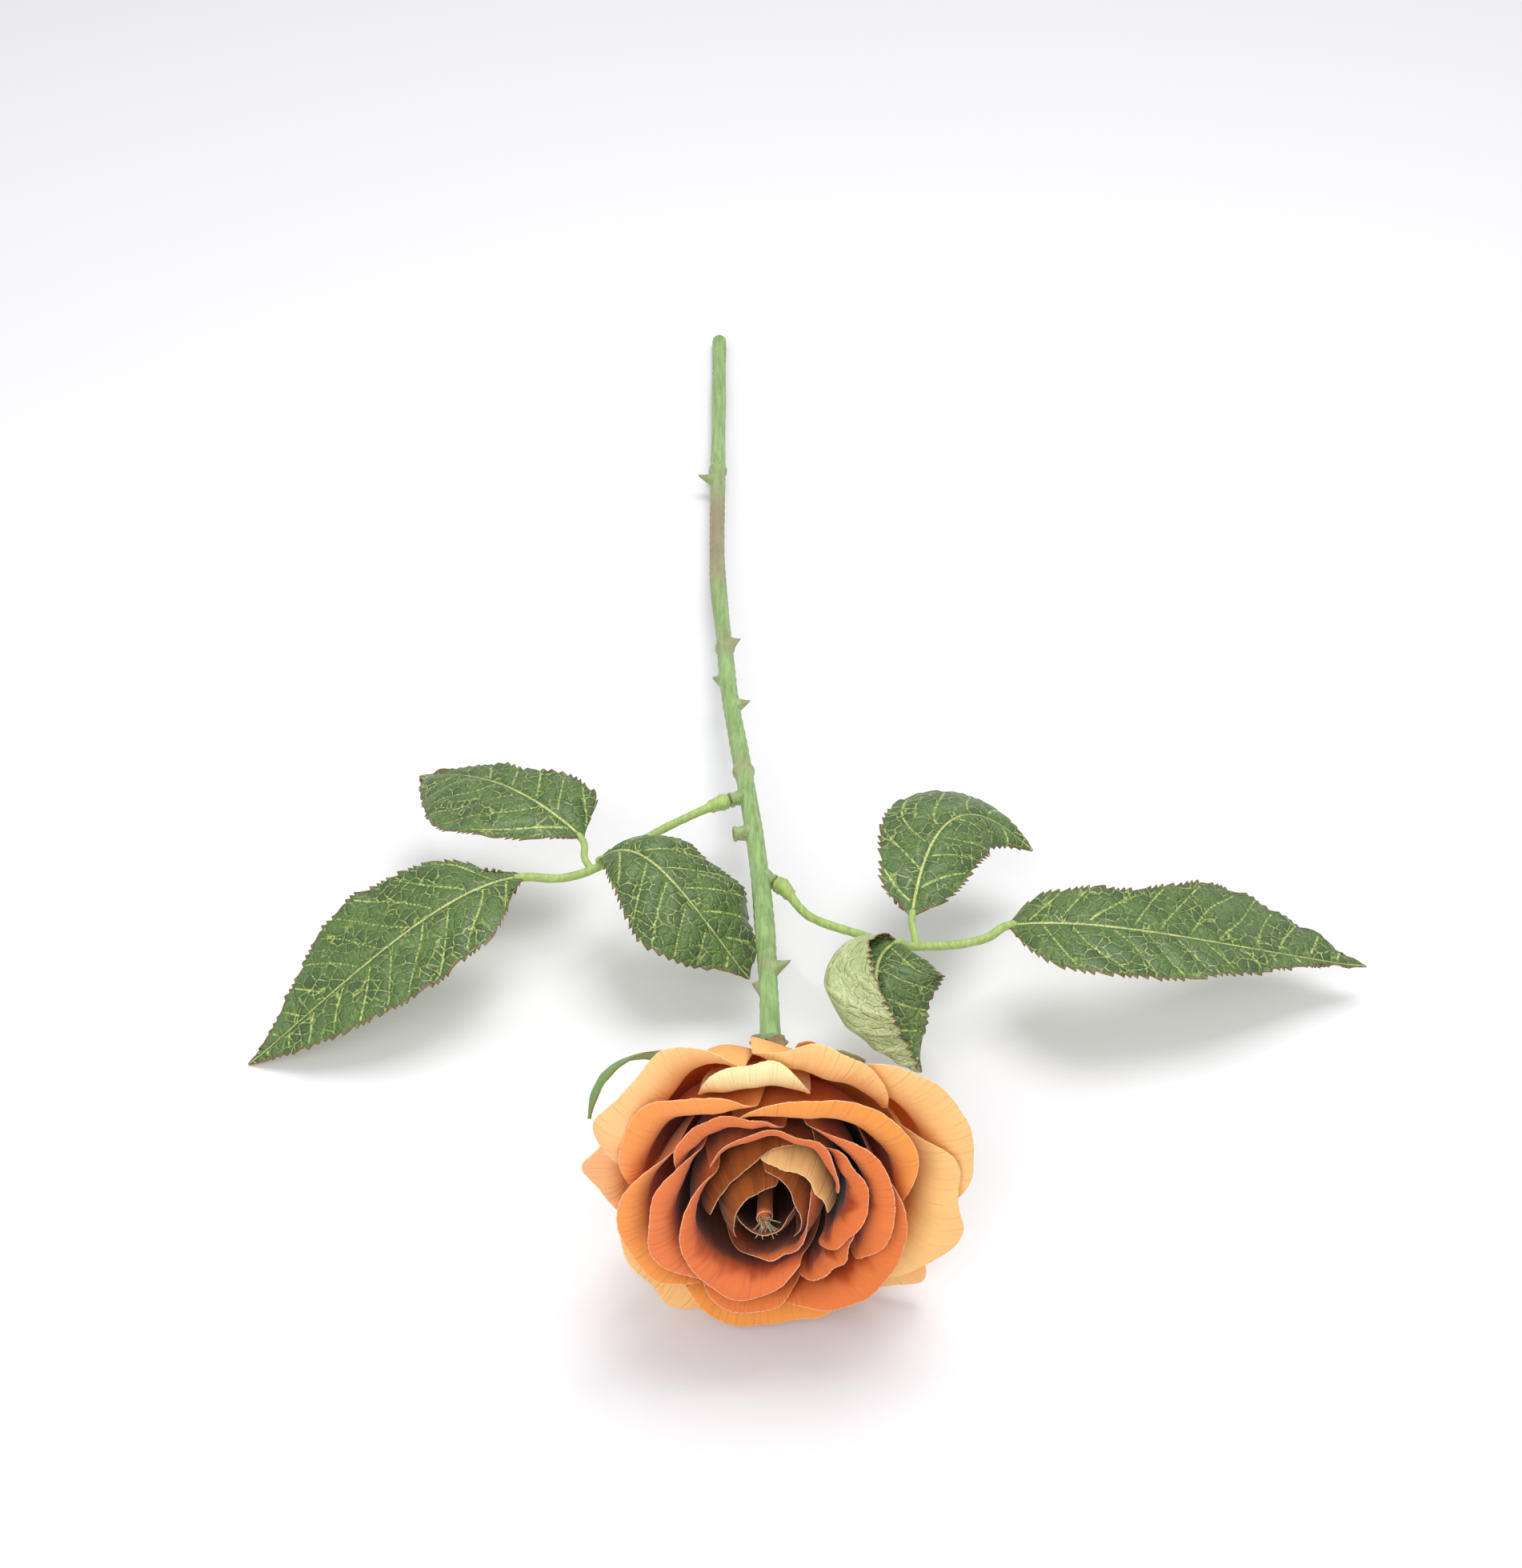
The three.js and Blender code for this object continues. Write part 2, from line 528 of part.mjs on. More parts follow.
const stalkGeometry = (socket, stalk, petioles) => joined([
  plugOn(socket),
  rodAlong(stalk, STALK_RADIUS, 8, 16),
  ...petioles.map((petiole) => rodAlong(petiole, PETIOLE_RADIUS, 8, 3)),
]);
addPiece('leaf_stalk_left', stalkGeometry(LEFT_SOCKET, LEFT_STALK, LEFT_PETIOLES), plastic(0x77a552));
addPiece('leaf_stalk_right', stalkGeometry(RIGHT_SOCKET, RIGHT_STALK, RIGHT_PETIOLES), plastic(0x77a552));

// ---- Leaflets ------------------------------------------------------------------------

const LEAF_ROWS = 8;
const LEAF_HALF_COLUMNS = 3;
const FOLDED_HALF_COLUMNS = 6;

// A side of a leaflet: its half width, the exponents that set where it is widest,
// and how far its edge is turned up, in degrees, at the base, middle and tip.
const side = (width, nearBase, nearTip, turnUp) => ({ width, nearBase, nearTip, turnUp });

const LEAFLETS = {
  leaflet_left_terminal: {
    spine: [[-61, 470, 28], [-79, 457, 37], [-101, 443, 20], [-129, 429, 0.5]],
    first: side(18, 0.55, 0.75, [5, 15, 5]),
    second: side(18.5, 0.6, 0.75, [-15, -20, -10]),
  },
  leaflet_left_upper: {
    spine: [[-46.5, 484, 29], [-58, 489, 38], [-72, 505, 37], [-94, 519, 22]],
    first: side(17, 0.35, 0.9, [-10, 10, -10]),
    second: side(20, 0.75, 0.4, [-20, 0, -20]),
  },
  leaflet_left_inner: {
    spine: [[-42.4, 477, 27.6], [-31, 474, 42], [-20, 458, 34], [-3, 447, 13]],
    first: side(17, 0.9, 0.45, [-20, -30, -20]),
    second: side(19, 0.5, 0.45, [-20, -35, -20]),
  },
  leaflet_right_upper: {
    spine: [[38, 453, 29], [41, 470, 36], [49, 498, 43], [72, 487, 22]],
    first: side(14, 0.5, 0.5, [-20, -40, -40]),
    second: side(16.5, 0.5, 0.6, [10, -20, -20]),
  },
  leaflet_right_terminal: {
    spine: [[62, 451, 28], [84, 444, 38], [118, 447, 24], [156, 455, 10]],
    first: side(17, 0.4, 0.8, [-10, -20, 0]),
    second: side(19, 0.35, 0.4, [0, 15, 0]),
  },
  leaflet_right_lower: {
    spine: [[34, 445, 28], [24, 432, 33], [28, 420, 28], [39, 413, 14]],
    first: side(26, 0.5, 0.5, [140, 172, 160]),
    second: side(17, 0.4, 0.6, [0, 0, -10]),
    foldFrom: 0.35,
    foldTo: 0.65,
  },
};

// A side's width at a place along the leaflet, as a share of its greatest.
function leafOutline({ nearBase, nearTip }, t) {
  const peak = nearBase / (nearBase + nearTip);
  const greatest = peak ** nearBase * (1 - peak) ** nearTip;
  return (t ** nearBase * (1 - t) ** nearTip) / greatest;
}

// Linear blend of three values at the base, middle and tip.
const alongThree = ([base, middle, tip], t) => (
  t < 0.5 ? base + (middle - base) * 2 * t : middle + (tip - middle) * (2 * t - 1));

const CURL_STEPS = 24;

// The path across one side of a leaflet: sideways and upward travel to a share of its width.
function acrossSide(half, width, turnUp, reachShare, foldFrom, foldTo) {
  const travel = new THREE.Vector2(0, 0);
  for (let k = 0; k < CURL_STEPS; k += 1) {
    const share = (reachShare * (k + 0.5)) / CURL_STEPS;
    const folded = foldTo === undefined ? share : smoothstep((share - foldFrom) / (foldTo - foldFrom));
    const angle = degrees(turnUp) * folded;
    const step = (width * reachShare) / CURL_STEPS;
    travel.add(new THREE.Vector2(Math.cos(angle) * step * half, Math.sin(angle) * step));
  }
  return travel;
}

// A curved blade round a spine; the first side lies to the right of the way it runs.
function leafGrid({ spine, first, second, foldFrom, foldTo }) {
  const curve = new THREE.CubicBezierCurve3(...vectors(spine));
  const halfColumns = foldTo === undefined ? LEAF_HALF_COLUMNS : FOLDED_HALF_COLUMNS;
  const grid = [];
  for (let i = 0; i <= LEAF_ROWS; i += 1) {
    const t = i / LEAF_ROWS;
    const middle = curve.getPoint(t);
    const tangent = curve.getTangent(t);
    const sideways = new THREE.Vector3(0, 0, 1).cross(tangent).normalize();
    const upward = new THREE.Vector3().crossVectors(tangent, sideways);
    const line = [];
    for (let j = -halfColumns; j <= halfColumns; j += 1) {
      const blade = j < 0 ? first : second;
      const width = Math.max(blade.width * leafOutline(blade, t), 0.5);
      const fold = j < 0 ? [foldFrom, foldTo] : [];
      const share = Math.abs(j) / halfColumns;
      const travel = acrossSide(Math.sign(j), width, alongThree(blade.turnUp, t), share, ...fold);
      line.push(middle.clone().addScaledVector(sideways, travel.x).addScaledVector(upward, travel.y));
    }
    grid.push(line);
  }
  return grid;
}

for (const [name, leaflet] of Object.entries(LEAFLETS)) {
  addPiece(name, sheetSolid(leafGrid(leaflet), LEAF_THICKNESS), fabric(0x3f6b3a));
}

// ---- Frame: the origin is the middle of the box's underside -----------------------------

rose.updateMatrixWorld(true);
const box = new THREE.Box3().setFromObject(rose, true);
const middle = box.getCenter(new THREE.Vector3());
rose.position.set(-middle.x, -middle.y, -box.min.z);
rose.updateMatrixWorld(true);

export default rose;
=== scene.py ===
"""A long-stemmed artificial rose lying on a pale table, its open bloom towards -Y.

The shapes are worked out in millimetres in the maker's own frame, in which the
bloom's base stands at BLOOM.base, and are moved into the row frame in metres
when their meshes are made.
"""
import logging
import math
from dataclasses import dataclass, field
from enum import Enum
from typing import Any

import bpy
import numpy as np
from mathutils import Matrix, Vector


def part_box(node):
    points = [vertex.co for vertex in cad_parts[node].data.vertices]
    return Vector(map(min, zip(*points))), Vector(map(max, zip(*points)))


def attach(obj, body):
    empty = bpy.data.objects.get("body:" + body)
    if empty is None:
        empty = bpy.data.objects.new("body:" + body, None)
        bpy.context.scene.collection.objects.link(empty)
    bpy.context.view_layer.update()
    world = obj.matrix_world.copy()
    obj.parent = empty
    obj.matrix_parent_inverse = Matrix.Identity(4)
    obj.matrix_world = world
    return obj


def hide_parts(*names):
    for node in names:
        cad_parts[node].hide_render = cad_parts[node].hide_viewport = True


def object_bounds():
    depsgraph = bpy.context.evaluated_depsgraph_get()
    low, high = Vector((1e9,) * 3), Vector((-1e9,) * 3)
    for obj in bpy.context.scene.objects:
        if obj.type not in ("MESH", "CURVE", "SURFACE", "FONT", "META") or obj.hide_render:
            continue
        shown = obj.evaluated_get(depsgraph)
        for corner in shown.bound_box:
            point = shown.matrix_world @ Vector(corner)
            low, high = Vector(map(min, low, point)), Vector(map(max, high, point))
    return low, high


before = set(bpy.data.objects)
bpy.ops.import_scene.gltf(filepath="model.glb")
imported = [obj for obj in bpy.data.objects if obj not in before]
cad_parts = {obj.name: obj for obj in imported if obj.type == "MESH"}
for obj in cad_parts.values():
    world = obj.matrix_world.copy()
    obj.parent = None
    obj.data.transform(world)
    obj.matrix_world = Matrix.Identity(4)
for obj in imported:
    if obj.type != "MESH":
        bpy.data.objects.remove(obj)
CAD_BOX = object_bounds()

LOG = logging.getLogger("rose")
MM = 0.001

# The lowest corner of the CAD stem's box in the maker's own frame, as measured on
# the built stem, and from it the move into the row frame.
STEM_CORNER = np.array([-21.3595, 393.8944, 0.2188])
ROW_SHIFT = np.array(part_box("stem")[0]) / MM - STEM_CORNER
Array = np.ndarray
Colour = tuple[float, float, float]


# ---- Numbers and curves ---------------------------------------------------------


def linear(red: int, green: int, blue: int) -> Colour:
    """A linear colour from one as a screen shows it, by the standard screen curve.

    Args:
        red: 0 to 255.
        green: 0 to 255.
        blue: 0 to 255.

    Returns:
        The three linear parts, 0 to 1.
    """
    shown = np.array([red, green, blue]) / 255
    dark = shown <= 0.04045
    made = np.where(dark, shown / 12.92, ((shown + 0.055) / 1.055) ** 2.4)
    return tuple(float(part) for part in made)


def ease(x: Array) -> Array:
    """0 below 0, 1 above 1 and the smooth step 3x^2 - 2x^3 between them."""
    inside = np.clip(x, 0, 1)
    return inside**2 * (3 - 2 * inside)


def through_knots(knots: list[tuple[float, float]], x: Array) -> Array:
    """A smooth curve through (x, y) knots: a cubic on each span, whose slope at a
    knot is the straight slope between that knot's two neighbours.

    Args:
        knots: the (x, y) pairs in rising x.
        x: where to read the curve; held at the first and last knot outside.

    Returns:
        The curve's height at each x.
    """
    xs, ys = np.array(knots, float).T
    last = len(xs) - 1
    below = np.maximum(np.arange(last + 1) - 1, 0)
    above = np.minimum(np.arange(last + 1) + 1, last)
    slope = (ys[above] - ys[below]) / (xs[above] - xs[below])
    inside = np.clip(x, xs[0], xs[-1])
    i = np.clip(np.searchsorted(xs, inside, side="right") - 1, 0, last - 1)
    span = xs[i + 1] - xs[i]
    t = (inside - xs[i]) / span
    start = (2 * t**3 - 3 * t**2 + 1) * ys[i] + (t**3 - 2 * t**2 + t) * span * slope[i]
    end = (-2 * t**3 + 3 * t**2) * ys[i + 1] + (t**3 - t**2) * span * slope[i + 1]
    return start + end


def bezier(points: Array, t: Array) -> Array:
    """A cubic curve from four points: (1-t)^3 a + 3t(1-t)^2 b + 3t^2(1-t) c + t^3 d.

    Args:
        points: the four points, on the first axis.
        t: places from 0 to 1.

    Returns:
        A point for each t, with t on the first axis.
    """
    t = t.reshape(t.shape + (1,) * (points.ndim - 1))
    a, b, c, d = points
    return (1 - t) ** 3 * a + 3 * t * (1 - t) ** 2 * b + 3 * t**2 * (1 - t) * c + t**3 * d


def smooth_path(points: list[Any], count: int) -> Array:
    """A centripetal Catmull-Rom curve: each span is a cubic whose end slopes come
    from its neighbours, weighted by the square roots of the distances between them.

    Args:
        points: the points that the curve goes through.
        count: how many even steps of the parameter it is cut into.

    Returns:
        count + 1 points along the curve.
    """
    p = np.array(points, float)
    p = np.concatenate([[2 * p[0] - p[1]], p, [2 * p[-1] - p[-2]]])
    gap = np.sqrt(np.linalg.norm(np.diff(p, axis=0), axis=1))[:, None]
    place = np.linspace(0, len(points) - 1, count + 1)
    i = np.minimum(place.astype(int), len(points) - 2)
    t = (place - i)[:, None]
    before, here, after = gap[i], gap[i + 1], gap[i + 2]
    a, b, c, d = p[i], p[i + 1], p[i + 2], p[i + 3]
    leaving = ((b - a) / before - (c - a) / (before + here) + (c - b) / here) * here
    arriving = ((c - b) / here - (d - b) / (here + after) + (d - c) / after) * here
    cubic = 2 * b - 2 * c + leaving + arriving
    square = -3 * b + 3 * c - 2 * leaving - arriving
    return b + leaving * t + square * t**2 + cubic * t**3


def travelled(points: Array) -> Array:
    """Length along a line of points up to each of them."""
    steps = np.linalg.norm(np.diff(points, axis=0), axis=1)
    return np.concatenate([[0.0], np.cumsum(steps)])


def spaced(points: Array, lengths: Array) -> Array:
    """The points of a line at the given lengths along it."""
    along = travelled(points)
    return np.stack([np.interp(lengths, along, points[:, k]) for k in range(3)], 1)


def unit(vectors: Array) -> Array:
    """The vectors, each made one long."""
    size = np.linalg.norm(vectors, axis=-1, keepdims=True)
    return vectors / np.maximum(size, 1e-9)


def ripple(x: Array, waves: float, seed: int, terms: int = 4) -> Array:
    """A smooth wandering value of about -1 to 1: a sum of sines whose waves run from
    half to twice the asked number per unit of x, with seeded starts.

    Args:
        x: where to read it.
        waves: about how many waves fit in one unit of x.
        seed: which wandering line it is.
        terms: how many sines are added.

    Returns:
        The value at each x.
    """
    dice = np.random.default_rng(seed)
    total = np.zeros_like(x, dtype=float)
    for rate, start in zip(dice.uniform(0.5, 2.0, terms), dice.uniform(0, 2 * np.pi, terms)):
        total += np.sin(2 * np.pi * waves * rate * x + start)
    return total / terms**0.5


# ---- Meshes -----------------------------------------------------------------------


@dataclass
class Shape:
    """A mesh in the making, in millimetres: points, faces and painted values."""

    points: Array
    quads: Array
    triangles: Array = field(default_factory=lambda: np.zeros((0, 3), int))
    flat_from: int | None = None
    uv: Array | None = None
    painted: dict[str, Array] = field(default_factory=dict)

    def joined(self, other: "Shape") -> "Shape":
        """This shape and another one in one mesh, with the values that both have.

        Args:
            other: the shape to add.

        Returns:
            The joined shape.
        """
        step = len(self.points)
        names = self.painted.keys() & other.painted.keys()
        return Shape(
            np.concatenate([self.points, other.points]),
            np.concatenate([self.quads, other.quads + step]),
            np.concatenate([self.triangles, other.triangles + step]),
            uv=np.concatenate([self.uv, other.uv]),
            painted={n: np.concatenate([self.painted[n], other.painted[n]]) for n in names},
        )

    def to_object(self, name: str) -> bpy.types.Object:
        """Makes the Blender object, with its place in its mesh.

        Args:
            name: the object's name.

        Returns:
            The object, linked into the scene.
        """
        mesh = bpy.data.meshes.new(name)
        mesh.vertices.add(len(self.points))
        mesh.vertices.foreach_set("co", ((self.points + ROW_SHIFT) * MM).astype(np.float32).ravel())
        corners = np.concatenate([self.quads.ravel(), self.triangles.ravel()]).astype(np.int32)
        starts = np.concatenate([
            np.arange(len(self.quads)) * 4,
            self.quads.size + np.arange(len(self.triangles)) * 3,
        ]).astype(np.int32)
        mesh.loops.add(len(corners))
        mesh.loops.foreach_set("vertex_index", corners)
        mesh.polygons.add(len(starts))
        mesh.polygons.foreach_set("loop_start", starts)
        mesh.update(calc_edges=True)
        smooth = np.ones(len(starts), bool)
        if self.flat_from is not None:
            smooth[self.flat_from:len(self.quads)] = False
        mesh.polygons.foreach_set("use_smooth", smooth)
        if self.uv is not None:
            layer = mesh.uv_layers.new(name="millimetres")
            layer.data.foreach_set("uv", self.uv[corners].astype(np.float32).ravel())
        for key, values in self.painted.items():
            mesh.attributes.new(key, "FLOAT", "POINT").data.foreach_set(
                "value", values.astype(np.float32).ravel())
        made = bpy.data.objects.new(name, mesh)
        bpy.context.scene.collection.objects.link(made)
        return made


def sheet(middle: Array, thickness: Array | float, uv: Array, painted: dict[str, Array]) -> Shape:
    """A closed sheet: the middle surface moved out by half the thickness along its
    normal on one face and in on the other, with a strip of faces round the edge.

    Args:
        middle: rows x columns x 3 points of the middle surface.
        thickness: its thickness, one number or one per point.
        uv: rows x columns x 2 places on the cloth in millimetres.
        painted: values per point of the grid, the same on both faces.

    Returns:
        The shape; its value "face" is 0 on the normal's side and 1 on the other.
    """
    rows, columns = middle.shape[:2]
    normal = unit(np.cross(np.gradient(middle, axis=0), np.gradient(middle, axis=1)))
    half = np.broadcast_to(np.asarray(thickness) / 2, (rows, columns))[..., None]
    count = rows * columns
    i = np.arange(count).reshape(rows, columns)
    front = np.stack([i[:-1, :-1], i[1:, :-1], i[1:, 1:], i[:-1, 1:]], -1).reshape(-1, 4)
    edge = np.concatenate([i[0, :-1], i[:-1, -1], i[-1, :0:-1], i[:0:-1, 0]])
    following = np.roll(edge, -1)
    strip = np.stack([edge, following, following + count, edge + count], 1)
    values = {name: np.tile(value.ravel(), 2) for name, value in painted.items()}
    values["face"] = np.repeat([0.0, 1.0], count)
    return Shape(
        np.concatenate([(middle + normal * half).reshape(-1, 3), (middle - normal * half).reshape(-1, 3)]),
        np.concatenate([front, front[:, ::-1] + count, strip]),
        flat_from=2 * len(front),
        uv=np.tile(uv.reshape(-1, 2), (2, 1)),
        painted=values,
    )


# The radius that a tube's cloth places are measured round, whatever its own is.
GIRTH_RADIUS = 2.4


def rings(centres: Array, across: Array, upward: Array, radii: Array, sides: int) -> Array:
    """Rings of points: centre + radius (cos a across + sin a upward) for each angle a.

    Args:
        centres: one point per ring.
        across: a unit vector per ring, or one for all.
        upward: the unit vector at right angles to it.
        radii: a radius per ring, or rings x sides.
        sides: points in a ring.

    Returns:
        rings x sides x 3 points.
    """
    angle = np.linspace(0, 2 * np.pi, sides, endpoint=False)
    way = np.multiply.outer(np.cos(angle), across) + np.multiply.outer(np.sin(angle), upward)
    way = way if way.ndim == 2 else way.transpose(1, 0, 2)
    size = radii[:, None, None] if radii.ndim == 1 else radii[..., None]
    return centres[:, None, :] + size * way


def capped(loops: Array, along: Array, painted: dict[str, Array] | None = None) -> Shape:
    """A closed tube: quads between neighbouring rings and a fan to the middle of
    each end ring.

    Args:
        loops: rings x sides x 3 points, which turn right-handed round the way they run.
        along: length along the tube at each ring.
        painted: values per point of the rings.

    Returns:
        The shape, with u round the tube and v along it in millimetres.
    """
    count, sides = loops.shape[:2]
    i = np.arange(count * sides).reshape(count, sides)
    j = np.roll(i, -1, axis=1)
    quads = np.stack([i[:-1], j[:-1], j[1:], i[1:]], -1).reshape(-1, 4)
    first, last = count * sides, count * sides + 1
    start = np.stack([np.full(sides, first), j[0], i[0]], 1)
    end = np.stack([np.full(sides, last), i[-1], j[-1]], 1)
    points = np.concatenate([loops.reshape(-1, 3), [loops[0].mean(0), loops[-1].mean(0)]])
    girth = np.linspace(0, 2 * np.pi * GIRTH_RADIUS, sides)
    uv = np.stack(np.broadcast_arrays(girth[None, :], along[:, None]), -1).reshape(-1, 2)
    uv = np.concatenate([uv, [[0, along[0]], [0, along[-1]]]])
    values = {
        name: np.concatenate([value.ravel(), [value[0].mean(), value[-1].mean()]])
        for name, value in (painted or {}).items()
    }
    return Shape(points, quads, np.concatenate([start, end]), uv=uv, painted=values)


def tube(path: Array, radii: Array, sides: int, painted: dict[str, Array] | None = None) -> Shape:
    """A closed tube along a path, each ring square to the path and level across.

    Args:
        path: the points of its middle.
        radii: its radius at each point.
        sides: points in a ring.
        painted: values per point of the rings.

    Returns:
        The shape.
    """
    ahead = unit(np.gradient(path, axis=0))
    across = unit(np.cross([0.0, 0.0, 1.0], ahead))
    upward = np.cross(ahead, across)
    return capped(rings(path, -across, upward, radii, sides), travelled(path), painted)


def turned(start: Array, way: Array, profile: list[tuple[float, float]], sides: int) -> Shape:
    """A turned body: pairs spun round a line.

    Args:
        start: where the line starts.
        way: the line's direction.
        profile: (height, radius) pairs.
        sides: points in a ring.

    Returns:
        The shape.
    """
    way = unit(np.array(way, float))
    across = unit(np.cross(way, [0.3, 0.2, 1.0]))
    upward = np.cross(way, across)
    height, radius = np.array(profile, float).T
    centres = np.array(start, float) + height[:, None] * way
    return capped(rings(centres, across, upward, radius, sides), height)


# ---- Materials ----------------------------------------------------------------------


class Graph:
    """A material's nodes, joined by short calls. A value may be a number, a colour or
    another node's output."""

    def __init__(self, name: str) -> None:
        """Makes the empty material.

        Args:
            name: the material's name.
        """
        self.material = bpy.data.materials.new(name)
        self.material.use_nodes = True
        self.tree = self.material.node_tree
        self.tree.nodes.clear()

    def add(self, kind: str, inputs: dict[Any, Any], **settings: Any) -> Any:
        """Adds a node, sets its options and joins or sets its inputs.

        Args:
            kind: the node's type.
            inputs: socket name or number to a value.
            settings: the node's own options.

        Returns:
            The node.
        """
        node = self.tree.nodes.new(kind)
        for key, value in settings.items():
            setattr(node, key, value)
        for key, value in inputs.items():
            socket = node.inputs[key]
            if isinstance(value, bpy.types.NodeSocket):
                self.tree.links.new(value, socket)
            elif isinstance(value, tuple) and len(value) == 3 and socket.type == "RGBA":
                socket.default_value = (*value, 1.0)
            else:
                socket.default_value = value
        return node

    def value(self, name: str) -> Any:
        """A value painted on the mesh."""
        return self.add("ShaderNodeAttribute", {}, attribute_name=name).outputs["Fac"]

    def cloth_place(self, stretch: tuple[float, float, float]) -> Any:
        """Place on the cloth in millimetres, times a stretch."""
        place = self.add("ShaderNodeTexCoord", {}).outputs["UV"]
        return self.add("ShaderNodeMapping", {"Vector": place, "Scale": stretch}).outputs[0]

    def body_place(self, stretch: tuple[float, float, float]) -> Any:
        """Place in the object in metres, times a stretch."""
        place = self.add("ShaderNodeTexCoord", {}).outputs["Object"]
        return self.add("ShaderNodeMapping", {"Vector": place, "Scale": stretch}).outputs[0]

    def noise(self, place: Any, scale: float, detail: float = 3.0, rough: float = 0.55) -> Any:
        """Soft noise of about 0.3 to 0.7."""
        inputs = {"Vector": place, "Scale": scale, "Detail": detail, "Roughness": rough}
        return self.add("ShaderNodeTexNoise", inputs).outputs["Fac"]

    def cells(self, place: Any, scale: float) -> Any:
        """Distance to the nearest wall of a net of cells."""
        inputs = {"Vector": place, "Scale": scale}
        return self.add("ShaderNodeTexVoronoi", inputs, feature="DISTANCE_TO_EDGE").outputs[0]

    def remap(self, value: Any, low: float, high: float, to_low: float = 0.0, to_high: float = 1.0) -> Any:
        """A value eased from one span to another and held at its ends."""
        inputs = {0: value, 1: low, 2: high, 3: to_low, 4: to_high}
        node = self.add("ShaderNodeMapRange", inputs, interpolation_type="SMOOTHSTEP")
        return node.outputs[0]

    def sum(self, operation: str, first: Any, second: Any) -> Any:
        """A sum of two values, such as ADD or MULTIPLY."""
        return self.add("ShaderNodeMath", {0: first, 1: second}, operation=operation).outputs[0]

    def mix(self, share: Any, first: Any, second: Any, blend: str = "MIX") -> Any:
        """The first colour with a share of the second."""
        inputs = {0: share, 6: first, 7: second}
        node = self.add("ShaderNodeMix", inputs, data_type="RGBA", blend_type=blend)
        return node.outputs[2]

    def ramp(self, value: Any, stops: list[tuple[float, Colour]]) -> Any:
        """Colours laid out along a value.

        Args:
            value: the value, 0 to 1.
            stops: (place, colour) pairs in rising place.

        Returns:
            The colour.
        """
        node = self.add("ShaderNodeValToRGB", {0: value})
        ramp = node.color_ramp
        ramp.interpolation = "EASE"
        for extra in range(len(stops) - 2):
            ramp.elements.new(0.5 + 0.1 * extra)
        for element, (place, colour) in zip(ramp.elements, stops):
            element.position = place
            element.color = (*colour, 1.0)
        return node.outputs[0]

    def bump(self, height: Any, depth: float, under: Any = None) -> Any:
        """A raised pattern on top of another one.

        Args:
            height: the pattern, 0 to 1.
            depth: how deep it is, in metres.
            under: the surface direction that it is laid on.

        Returns:
            The new surface direction.
        """
        inputs = {"Height": height, "Strength": 1.0, "Distance": depth}
        if under is not None:
            inputs["Normal"] = under
        return self.add("ShaderNodeBump", inputs).outputs[0]

    def finish(self, surface: Any) -> bpy.types.Material:
        """Wires the shader to the output and hands back the material."""
        self.add("ShaderNodeOutputMaterial", {"Surface": surface})
        return self.material


@dataclass(frozen=True)
class PetalCloth:
    """Woven petal cloth, dyed from the rim down: a frayed light edge, a rim colour,
    a body colour and a dark base, which is partly dye and partly painted shade for the
    hollows deep in the bloom, and a flatter back that darkens towards its base the same way."""

    name: str
    edge: Colour
    rim: Colour
    body: Colour
    # base and the back's base: the dye's deepest tone, darkened further as painted shade for the hollows
    # deep in the bloom
    base: Colour
    back_rim: Colour
    back_base_and_shade: Colour
    rosy: Colour
    fade: float = 30
    glow: float = 0.2

    def material(self) -> bpy.types.Material:
        """Makes the cloth's material.

        Returns:
            The material.
        """
        g = Graph(self.name)
        fibres = g.noise(g.cloth_place((0.5, 0.05, 1)), 1.0, 1.5, 0.5)
        threads = g.noise(g.cloth_place((3.4, 3.4, 1)), 1.0, 2.0, 0.5)
        patches = g.noise(g.cloth_place((0.1, 0.08, 1)), 1.0, 2.0, 0.5)
        to_rim = g.value("rim_distance")
        wander = g.remap(patches, 0.3, 0.7, -2.4, 2.4)
        depth = g.sum("MULTIPLY", g.sum("ADD", to_rim, wander), 1 / self.fade)
        # Towards the base the colour darkens: partly the dye's own gradient, partly painted shade for the
        # hollows between the petals
        front = g.ramp(depth, [(0.0, self.rim), (0.2, self.rim), (0.5, self.body), (1.0, self.base)])
        back = g.ramp(depth, [(0.0, self.back_rim), (1.0, self.back_base_and_shade)])
        colour = g.mix(g.value("face"), front, back)
        colour = g.mix(g.value("rosy"), colour, self.rosy)
        near_rim = g.remap(to_rim, 1.0, 11.0, 1.0, 0.25)
        streaks = g.sum("MULTIPLY", g.remap(fibres, 0.36, 0.66, 0.0, 1.0), near_rim)
        colour = g.mix(g.sum("MULTIPLY", streaks, 0.2), colour, self.rim)
        specks = g.remap(threads, 0.36, 0.64, 0.0, 1.0)
        colour = g.mix(0.1, colour, g.ramp(specks, [(0.0, (0.6, 0.52, 0.46)), (1.0, (1, 1, 1))]), "MULTIPLY")
        ragged = g.sum("ADD", g.value("edge_distance"), g.remap(threads, 0.3, 0.7, -0.16, 0.16))
        colour = g.mix(g.remap(ragged, 0.0, 0.22, 0.5, 0.0), colour, self.edge)
        ribs = g.bump(streaks, 0.0002)
        weave = g.bump(threads, 0.00006, ribs)
        cloth = g.add("ShaderNodeBsdfPrincipled", {
            "Base Color": colour, "Roughness": 0.78, "Normal": weave,
            "Specular IOR Level": 0.25, "Sheen Weight": 0.12, "Sheen Roughness": 0.45,
        })
        through = g.add("ShaderNodeBsdfTranslucent", {"Color": colour, "Normal": weave})
        both = g.add("ShaderNodeMixShader", {0: self.glow, 1: cloth.outputs[0], 2: through.outputs[0]})
        return g.finish(both.outputs[0])


CREAM = linear(255, 236, 204)


